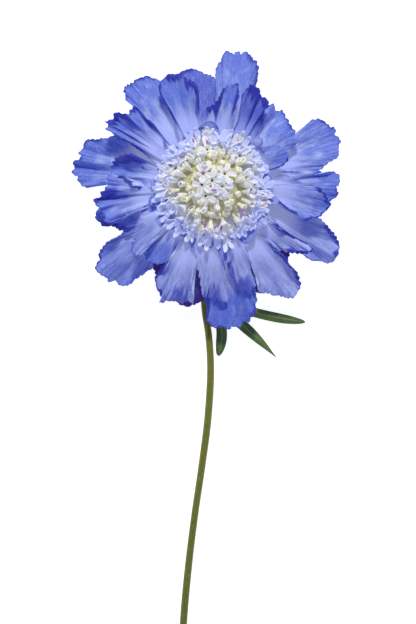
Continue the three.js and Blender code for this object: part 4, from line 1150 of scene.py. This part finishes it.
class FLOWER_OT_disc_florets(Operator):
    """Build the disc: its core, open florets, buds, anthers and filaments"""

    bl_idname = "flower.disc_florets"
    bl_label = "Disc florets"

    def execute(self, context):
        self.build_core()
        draw = draws_from(DISC_SEED)
        open_florets, buds = Shape(), Shape()
        anthers, filaments = Shape(), Shape()
        for x, y, kind, turn, length in SET_FLORETS:
            self.set_floret(open_florets, buds, (x, y), kind, math.radians(turn), length, draw)
        for x, y, turn in SET_ANTHERS:
            self.stand_anther(anthers, filaments, x, y, math.radians(turn), draw)
        for number in range(SPIRAL_FIRST, SPIRAL_LAST):
            radius = SPIRAL_STEP * math.sqrt(number) + draw(-0.35, 0.35)
            angle = number * SPIRAL_TURN + draw(-0.3, 0.3) / radius
            x, y = radius * math.cos(angle), radius * math.sin(angle)
            nearest = min(math.hypot(x - row[0], y - row[1]) for row in SET_FLORETS)
            if nearest < (SPACING_INSIDE if radius < SPACING_RADIUS else SPACING_OUTSIDE):
                continue
            chance = draw(0, 1)
            if radius < HEART_RADIUS:
                if chance < HEART_GAP:
                    continue
                kind, length = ("bud", 1.2) if chance < HEART_BUD else ("half", 2.3)
            elif radius < BELT_RADIUS:
                wider = "half" if chance < BELT_HALF else "fan"
                kind, length = ("bud", 1.25) if chance < BELT_BUD else (wider, 2.8)
            elif chance < EDGE_HALF:
                kind, length = "half", 3.0
            else:
                kind, length = "fan", min(draw(2.6, 4.2), EDGE_RADIUS + FRINGE * chance - radius)
            self.set_floret(open_florets, buds, (x, y), kind, draw(0, TAU), length * draw(0.88, 1.12), draw)
            if radius > OUTER_ANTHERS_RADIUS and chance < OUTER_ANTHER:
                self.stand_anther(anthers, filaments, x, y, draw(0, TAU), draw)
        open_florets.piece("disc_open_florets", floret_material(), "disc_floret", "disc_florets")
        buds.piece("disc_buds", bud_material(), "disc_floret", "disc_florets")
        anthers.piece("disc_anthers", anther_material(), "disc_floret", "disc_florets")
        filaments.piece("disc_filaments", filament_material(), "disc_floret", "disc_florets")
        return {"FINISHED"}

    def set_floret(self, open_florets, buds, place, kind, turn, length, draw):
        """One floret or bud on the dome. turn is that of its first lobe, in plan."""
        radius = math.hypot(*place)
        lean = min(radius * LEAN[kind], MOST_LEAN) + draw(-0.15, 0.15)
        paler = smooth(2 * math.sin(5.1 * place[0] + 3.7 * place[1]) - 0.5) * rise(radius, *PALER_ZONE)
        lilac = 0.3 + 0.85 * rise(radius, *LILAC_ZONE) - 0.65 * paler + draw(-0.2, 0.2)
        if kind == "bud":
            size, seam_turn = length * draw(0.85, 1.1), draw(0, 3)
            tall = size * draw(1.0, 1.35)
            posed = set_on_dome(*place, lean, floret_height(radius) - 0.5 + draw(-0.3, 0.3))
            bud(buds, posed, size, seam_turn, tall, draw(0, 0.7))
            return
        posed = set_on_dome(*place, lean, floret_height(radius) + draw(-0.4, 0.3) - 0.5 * (kind == "half"))
        outward = 0.35 * rise(radius, *OUTWARD_ZONE)
        creamier = draw(-0.7, -0.1) if kind == "half" else 0
        floret(open_florets, posed, kind, turn - math.atan2(place[1], place[0]), length, outward, draw,
               lilac + creamier)

    def build_core(self):
        """The dome of crowded floret tubes that shows between the florets."""
        turn = turns(CORE_STEPS)
        rings = []
        for row, (radius, height) in enumerate(CORE_PROFILE):
            rough = 0.12 * np.sin(turn * 17 + row) + 0.1 * np.sin(turn * 29 + 2 * row)
            rings.append(hoop(radius + rough, height + rough * 0.5 * (row > 0), turn))
        outer = rise(np.array(CORE_PROFILE)[:, :1], 10, 11.5)
        shape = Shape()
        turned_solid(shape, np.stack(rings), (0, 0, CORE_FOOT_Z), (0, 0, CORE_TOP_Z), outer=outer)
        shape.piece("disc_core", core_material(), "disc_floret", "disc_florets")

    def stand_anther(self, anthers, filaments, x, y, turn, draw):
        """One anther that lies across the end of its filament, over the florets."""
        radius = math.hypot(x, y)
        end = np.array([x, y, floret_height(radius) + draw(0.7, 1.2)])
        end[2] = max(end[2], parting_height(radius) + 1.2)
        start = end - np.array([x, y, 0]) / radius * draw(0.3, 1.2) - np.array([0, 0, 2.2])
        thread(filaments, start, end, (draw(-0.2, 0.2), draw(-0.2, 0.2), 0), FILAMENT_RADIUS)
        axis = (math.cos(turn), math.sin(turn), draw(-0.1, 0.25))
        bean(anthers, end, axis, draw(1.3, 1.9), ANTHER_RADIUS)


# ---------------------------------------------------------------- involucre
# The cup: radius and height, from its foot up.
CUP_FOOT_Z, CUP_RIM_Z = STEM_TOP_Z + CLEARANCE, CUP_TOP_Z - 0.02
CUP_PROFILE = (
    (1.4, CUP_FOOT_Z), (2.4, 8.35), (3.4, 8.9), (4.8, 9.5), (6.2, 10.2), (7.2, 10.7),
    (CUP_RADIUS - 0.05, 11.1), (CUP_RADIUS - 0.2, CUP_RIM_Z))
CUP_STEPS, CUP_RIBS, CUP_RIB_HEIGHT = 96, 24, 0.09

# The bracts, which are long and short in turn.
BRACT_SEED = 31
BRACT_COUNT = 12
BRACT_ROOT_RADIUS = 5.4
BRACT_REACHES = (17.5, 14.5)
BRACT_ROOT_Z, BRACT_TIP_Z = 9.9, 6.6
BRACT_HALF = 1.7
BRACT_THICKNESS = 0.4


class FLOWER_OT_involucre(Operator):
    """Build the green cup under the bloom and its bracts"""

    bl_idname = "flower.involucre"
    bl_label = "Involucre"

    def execute(self, context):
        shape = Shape()
        turn = turns(CUP_STEPS)
        rings = []
        for radius, height in CUP_PROFILE:
            rib = CUP_RIB_HEIGHT * np.cos(turn * CUP_RIBS) * min(1, radius / 5)
            rings.append(hoop(radius + rib, height, turn))
        turned_solid(shape, np.stack(rings), (0, 0, CUP_FOOT_Z), (0, 0, CUP_RIM_Z),
                     along=0.1, across=0, back=0)
        draw = draws_from(BRACT_SEED)
        for number in range(BRACT_COUNT):
            angle = math.radians(number * 360 / BRACT_COUNT + draw(-5, 5))
            reach = BRACT_REACHES[number % 2] + draw(-1, 1)
            self.add_bract(shape, angle, reach, BRACT_HALF + draw(-0.2, 0.2), number)
        material = green_material("cup_green_finish", colours().involucre, 0.15)
        shape.piece("involucre_cup_and_bracts", material, "cup_green", "involucre")
        return {"FINISHED"}

    def add_bract(self, shape, angle, reach, half, number):
        """A narrow pointed blade from the cup outwards, which droops a little."""
        along, across = blade_grid(20, 11)
        outward = np.array([math.cos(angle), math.sin(angle)])
        radius = mix(BRACT_ROOT_RADIUS, reach, along)
        width = np.maximum(half * np.sin(math.pi * np.minimum(0.25 + along * 0.75, 1)), 0.08)
        height = mix(BRACT_ROOT_Z, BRACT_TIP_Z, along * (0.6 + 0.4 * along)) + 0.25 * np.abs(across)
        height = height + 0.12 * np.sin(along * 7 + number)
        plan = outward * radius[..., None] + left_of(outward) * (width * across)[..., None]
        place = np.concatenate([plan, height[..., None]], -1)
        thickness = BRACT_THICKNESS * (1 - 0.5 * np.abs(across) ** 3)
        sheet_solid(shape, place, thickness, along=along, across=across)


def green_material(name, main, sheen):
    """A leafy green with a paler midrib, a darker rim and tip and a soft down."""
    board = Board(name)
    along = board.attribute("along")
    across = board.attribute("across")
    back = board.attribute("back")
    place = board.place()
    mottle = board.noise(place, 260.0, 4.0)
    fine = board.noise(place, 1500.0, 2.0)
    middle = (across * across).between(0.025, 0.0)
    rim = (across * across).between(0.72, 1.0)
    pale = tuple(mix(v, w, 0.45) for v, w in zip(main, colours().down))
    dark = tuple(v * 0.45 for v in main)
    blade = board.mix(mottle.between(0.35, 0.7) * 0.6, main, dark)
    freckled = board.mix(fine.between(0.55, 0.75) * 0.25, blade, pale)
    ribbed = board.mix(middle * 0.3, freckled, pale)
    edged = board.mix(rim * 0.5, ribbed, dark)
    tipped = board.mix(along.between(0.85, 1.0) * 0.3, edged, dark)
    under = board.mix(back * 0.3, tipped, pale)
    return board.finish({
        "Base Color": under,
        "Roughness": 0.45 + 0.2 * mottle,
        "Normal": board.bump(mottle * 0.5 + fine * 0.3 + middle * 0.6, 0.00018, 0.6),
        "Specular IOR Level": 0.4,
        # Painted glow: the leaf emits its own colour, which lifts its shade.
        "Emission Color": under,
        "Emission Strength": 0.22,
        "Sheen Weight": sheen,
        "Sheen Roughness": 0.5,
        "Subsurface Weight": 0.12,
        "Subsurface Radius": (0.5, 0.9, 0.3),
        "Subsurface Scale": 0.0005,
    })


# ---------------------------------------------------------------- stem
# The middle of the stem, from the cup to the cut end. It lies down soon after it has left the cup.
STEM_ROUTE = [
    (0, 0, STEM_TOP_Z), (0, -0.5, 5.6), (-0.2, -2.9, 2.7), (-0.7, -7.2, 1.3),
    (-1.3, -13, STEM_RADIUS), (-2.1, -22, STEM_RADIUS), (-2.5, -31, STEM_RADIUS), (-2.35, -37, STEM_RADIUS),
    (-1.35, -43.8, STEM_RADIUS), (-0.7, -54, STEM_RADIUS), (-1.5, -69, STEM_RADIUS),
    (-3.3, -83.4, STEM_RADIUS), (-5.4, -97.8, STEM_RADIUS), (-7.2, -112.2, STEM_RADIUS),
    (-8.6, -126.6, STEM_RADIUS), (-9.2, -136, STEM_RADIUS),
]
STEM_STEPS, STEM_SIDES = 300, 28
STEM_LOWEST = 0.03
STEM_RIDGES, STEM_RIDGE_HEIGHT = 8, 0.035

# The joint that the leaves grow from: its place along Y, its breadth and its swelling.
JOINT_Y, JOINT_BREADTH, JOINT_SWELL = -34.2, 2.4, 0.10

# The cut end: the pith's share of the radius, and how far it stands out.
PITH_SHARE, PITH_RISE = 0.82, 0.12

HAIR_SEED = 57
HAIR_HALF = 0.022
HAIR_DEPTH = 0.12
HAIR_LOWEST = 0.05
HAIR_TONE = 0.35
HAIR_SIDES = 3


def stem_material():
    """Olive green, ridged lengthwise, a little deeper at both ends, with a pale pith at the cut."""
    board = Board("stem_green_finish")
    tones = colours()
    along = board.attribute("along")
    turn = board.attribute("turn")
    cut = board.attribute("cut")
    grain = board.node("ShaderNodeCombineXYZ", {}, {"X": turn, "Y": along, "Z": 0.0})
    streak = board.noise(grain, 1.0, 3.0, (9.0, 0.12, 1.0))
    mottle = board.noise(grain, 1.0, 3.0, (2.0, 0.75, 1.0))
    body = board.mix(along.between(55, 130), tones.stem, tones.stem_old)
    fresh = board.mix(along.between(60, 25), body, tones.stem_young)
    ridged = board.mix(streak.between(0.4, 0.7) * 0.55, fresh, tones.stem_ridge)
    sunned = board.mix(mottle.between(0.5, 0.3) * 0.5, ridged, tones.stem_sunned)
    freckled = board.mix(mottle.between(0.55, 0.72) * 0.6, sunned, tones.stem_freckle)
    ended = board.mix(cut, freckled, tones.stem_pith)
    return board.finish({
        "Base Color": ended,
        "Roughness": 0.42 + 0.2 * streak,
        "Normal": board.bump(streak, 0.00025, 0.6),
        "Specular IOR Level": 0.4,
        # Painted glow: the stem emits its own colour, which lifts its shade.
        "Emission Color": ended,
        "Emission Strength": 0.12,
        "Subsurface Weight": 0.1,
        "Subsurface Radius": (0.5, 0.9, 0.3),
        "Subsurface Scale": 0.0006,
    })


class FLOWER_OT_stem(Operator):
    """Build the stem with its ridges, its leaf joint, its cut end and its short hairs"""

    bl_idname = "flower.stem"
    bl_label = "Stem"

    def execute(self, context):
        dense, way, _ = smooth_line(STEM_ROUTE)
        length = np.linspace(0, way[-1], STEM_STEPS)
        line = np.stack([np.interp(length, way, dense[:, axis]) for axis in range(3)], -1)
        run = unit(np.gradient(line, axis=0))
        side = unit(np.cross(np.cross(run, (1.0, 0.0, 0.0)), run))
        over = np.cross(run, side)
        turn = turns(STEM_SIDES)
        joint = np.exp(-((line[:, 1] - JOINT_Y) / JOINT_BREADTH) ** 2)[:, None]
        reach = STEM_RADIUS * (0.98 + 0.03 * np.sin(length * 0.11))[:, None]
        reach = reach + STEM_RIDGE_HEIGHT * np.cos(turn * STEM_RIDGES) + JOINT_SWELL * joint
        rings = tube(line, side, over, reach, turn)
        rings[..., 2] = np.maximum(rings[..., 2], STEM_LOWEST)

        pith = line[-1] + (rings[-1] - line[-1]) * PITH_SHARE
        cut = np.append(np.zeros(STEM_STEPS), 1)[:, None]
        down = np.append(length, length[-1])[:, None]
        around = np.minimum(turn, TAU - turn)
        shape = Shape()
        turned_solid(shape, np.concatenate([rings, pith[None]]), line[0], line[-1] - run[-1] * PITH_RISE,
                     along=down, turn=around, cut=cut)
        material = stem_material()
        shape.piece("stem_body", material, "stem_green", "stem")
        self.add_hairs(line, run, side, over, length, material)
        return {"FINISHED"}

    def add_hairs(self, line, run, side, over, length, material):
        """Short fine hairs, each a slim three-sided spike that leans towards the bloom."""
        draw = draws_from(HAIR_SEED)
        hairs = Shape()
        for _ in range(sizes().stem_hairs):
            at = int(draw(12, len(line) - 3))
            angle = draw(0, TAU)
            out = math.cos(angle) * side[at] + math.sin(angle) * over[at]
            root = line[at] + out * (STEM_RADIUS - HAIR_DEPTH)
            tip = root + out * draw(0.28, 0.5) - run[at] * draw(0.05, 0.2)
            if tip[2] < HAIR_LOWEST:
                continue
            across = np.cross(out, run[at])
            base = [root + HAIR_HALF * (math.cos(a) * across + math.sin(a) * run[at])
                    for a in turns(HAIR_SIDES)]
            hairs.add(base + [tip], [[(0, 2, 1), (0, 1, 3), (1, 2, 3), (2, 0, 3)]],
                      along=length[at], turn=angle, cut=HAIR_TONE)
        hairs.piece("stem_hairs", material, "stem_green", "stem")


# ---------------------------------------------------------------- stem leaves
# Name, root, the place that the leaf bends towards, tip, half width, and how long the point is.
LEAVES = [
    ("leaf_right", (-1.1, -32.0), (10.5, -38.2), (27.9, -40.2), 1.45, 0.5),
    ("leaf_middle", (-1.1, -34.3), (7.0, -38.2), (18.9, -50.7), 1.6, 1.0),
    ("leaf_low", (-0.95, -36.6), (4.6, -39.5), (1.6, -50.4), 1.6, 0.45),
]
LEAF_PULL_Z = 0.9
LEAF_LOWEST = 0.26
LEAF_BASE_HALF = 0.55
LEAF_TIP_HALF = 0.06
LEAF_THICKNESS = 0.42
LEAF_RIDGE = 0.22
LEAF_WAVE = 0.10


class FLOWER_OT_leaves(Operator):
    """Build the three narrow leaves on the stem"""

    bl_idname = "flower.leaves"
    bl_label = "Stem leaves"

    def execute(self, context):
        material = green_material("leaf_green_finish", colours().leaf, 0.09)
        for number, (name, root, pull, tip, half, point) in enumerate(LEAVES):
            along, across = blade_grid(70, 17)
            start = np.array([*root, STEM_RADIUS])
            control = np.array([*pull, LEAF_PULL_Z])
            end = np.array([*tip, CAD_BLADE / 2])
            place = on_curve(start, control, end, along[..., None])
            ahead = mix(control - start, end - control, along[..., None])
            left = unit(np.stack([-ahead[..., 1], ahead[..., 0], np.zeros_like(along)], -1))
            shoulder = 0.86 - 0.3 * point
            taper = (1 - np.maximum((along - shoulder) / (1 - shoulder), 0) ** 2) ** point
            width = np.maximum(mix(LEAF_BASE_HALF, half, rise(along, 0, 0.6)) * taper, LEAF_TIP_HALF)
            grown = rise(along, 0, 0.3)
            ridge = LEAF_RIDGE * (0.5 - np.abs(across)) * grown * rise(1 - along, 0, 0.3)
            wave = LEAF_WAVE * np.sin(along * 9 + number * 2) * across * grown
            place = place + left * (width * across)[..., None]
            place[..., 2] = np.maximum(place[..., 2] + ridge + wave, LEAF_LOWEST)
            thickness = LEAF_THICKNESS * (1 - 0.45 * np.abs(across) ** 3)
            shape = Shape()
            sheet_solid(shape, place, thickness, along=along, across=across)
            shape.piece(name + "_blade", material, "leaf_green", name)
        return {"FINISHED"}


# ---------------------------------------------------------------- stage
# The view, in which a pixel of the frame is this many mm, and where the bloom's middle stands in it.
MM_PER_PIXEL = 0.30
VIEW_LONG_SIDE = 624
VIEW_SHORT_SIDE = 416
BLOOM_PIXEL = (213, 188)
CAMERA_HEIGHT = 1.5
FOCUS_HEIGHT = 12.0
SENSOR_WIDTH = 36

# The floor's rings in metres: radius and height, from the middle outwards.
FLOOR_RINGS = ((0.3, 0.0), (1.5, 0.0), (4.5, 0.0), (5.4, 0.1), (6.0, 0.5), (6.4, 1.4), (6.5, 3.0))
FLOOR_STEPS = 96
FLOOR_GREYS = ((0.28, 0.28, 0.29), (0.32, 0.32, 0.325))
FLOOR_GLOW = 0.92

SUN_STRENGTH = 3.35
SUN_BREADTH = math.radians(9)
SUN_LEAN = math.radians(-43)
SUN_COLOUR = (1.0, 0.985, 0.96)
SKY_STRENGTH = 0.53
SKY_COLOUR = (0.125, 0.19, 1.0, 1)


class FLOWER_OT_stage(Operator):
    """Build the floor, the lights and the camera"""

    bl_idname = "flower.stage"
    bl_label = "Stage"

    def execute(self, context):
        self.build_floor(context.scene)
        self.build_lights(context.scene)
        self.build_camera(context.scene)
        return {"FINISHED"}

    def build_floor(self, scene):
        """A round pale floor that rises softly far away."""
        rings = [hoop(radius, height, turns(FLOOR_STEPS)) for radius, height in FLOOR_RINGS]
        points = [(0, 0, 0)] + np.concatenate(rings).tolist()
        faces = [(0, 1 + i, 1 + (i + 1) % FLOOR_STEPS) for i in range(FLOOR_STEPS)]
        faces += grid_faces(len(FLOOR_RINGS), FLOOR_STEPS, ring=True, first=1).tolist()
        mesh = bpy.data.meshes.new("floor")
        mesh.from_pydata(points, [], faces)
        mesh.polygons.foreach_set("use_smooth", np.ones(len(mesh.polygons), bool))
        board = Board("floor_finish")
        mesh.materials.append(board.finish({
            "Base Color": board.mix(board.noise(board.place(), 60.0, 2.0), *FLOOR_GREYS),
            "Roughness": 0.8,
            "Specular IOR Level": 0.1,
            "Emission Color": (1.0, 1.0, 1.0),
            "Emission Strength": FLOOR_GLOW,
        }))
        floor = bpy.data.objects.new("floor", mesh)
        scene.collection.objects.link(floor)

    def build_lights(self, scene):
        """A key light from beyond the bloom's upper edge, with a soft cool sky."""
        key = bpy.data.lights.new("key_light", "SUN")
        key.energy = SUN_STRENGTH
        key.angle = SUN_BREADTH
        key.color = SUN_COLOUR
        sun = bpy.data.objects.new("key_light", key)
        sun.rotation_euler = (SUN_LEAN, 0, 0)
        scene.collection.objects.link(sun)
        world = bpy.data.worlds.new("soft_sky")
        world.use_nodes = True
        sky = world.node_tree.nodes["Background"]
        sky.inputs["Color"].default_value = SKY_COLOUR
        sky.inputs["Strength"].default_value = SKY_STRENGTH
        scene.world = world
        scene.view_settings.view_transform = "Standard"

    def build_camera(self, scene):
        """Straight above, with the bloom's middle where the frame has it."""
        data = bpy.data.cameras.new("camera")
        data.sensor_width = SENSOR_WIDTH
        data.lens = SENSOR_WIDTH * CAMERA_HEIGHT / (VIEW_LONG_SIDE * MM_PER_PIXEL * MM)
        camera = bpy.data.objects.new("camera", data)
        aside = (BLOOM_PIXEL[0] - VIEW_SHORT_SIDE / 2) * MM_PER_PIXEL
        upward = (VIEW_LONG_SIDE / 2 - BLOOM_PIXEL[1]) * MM_PER_PIXEL
        camera.location = ((BLOOM_X - aside) * MM, (BLOOM_Y - upward) * MM, FOCUS_HEIGHT * MM + CAMERA_HEIGHT)
        scene.collection.objects.link(camera)
        scene.camera = camera


class FLOWER_PT_pieces(Panel):
    """The flower's pieces and the values that shape them"""

    bl_idname = "FLOWER_PT_pieces"
    bl_label = "Pincushion Flower"
    bl_space_type = "VIEW_3D"
    bl_region_type = "UI"
    bl_category = "Flower"

    def draw(self, context):
        for operator in OPERATORS:
            self.layout.operator(operator.bl_idname)
        for group in (context.scene.flower_sizes, context.scene.flower_colours):
            for name in group.bl_rna.properties.keys():
                if name not in ("rna_type", "name"):
                    self.layout.prop(group, name)


OPERATORS = (
    FLOWER_OT_ray_florets, FLOWER_OT_disc_florets, FLOWER_OT_involucre, FLOWER_OT_stem, FLOWER_OT_leaves,
    FLOWER_OT_stage,
)
CLASSES = (FlowerSizes, FlowerColours, *OPERATORS, FLOWER_PT_pieces)


def register():
    for cls in CLASSES:
        bpy.utils.register_class(cls)
    bpy.types.Scene.flower_sizes = PointerProperty(type=FlowerSizes)
    bpy.types.Scene.flower_colours = PointerProperty(type=FlowerColours)


def unregister():
    del bpy.types.Scene.flower_colours
    del bpy.types.Scene.flower_sizes
    for cls in reversed(CLASSES):
        bpy.utils.unregister_class(cls)


def main():
    register()
    bpy.ops.flower.stage()
    bpy.ops.flower.ray_florets()
    bpy.ops.flower.disc_florets()
    bpy.ops.flower.involucre()
    bpy.ops.flower.stem()
    bpy.ops.flower.leaves()
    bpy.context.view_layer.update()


if __name__ == "__main__":
    main()
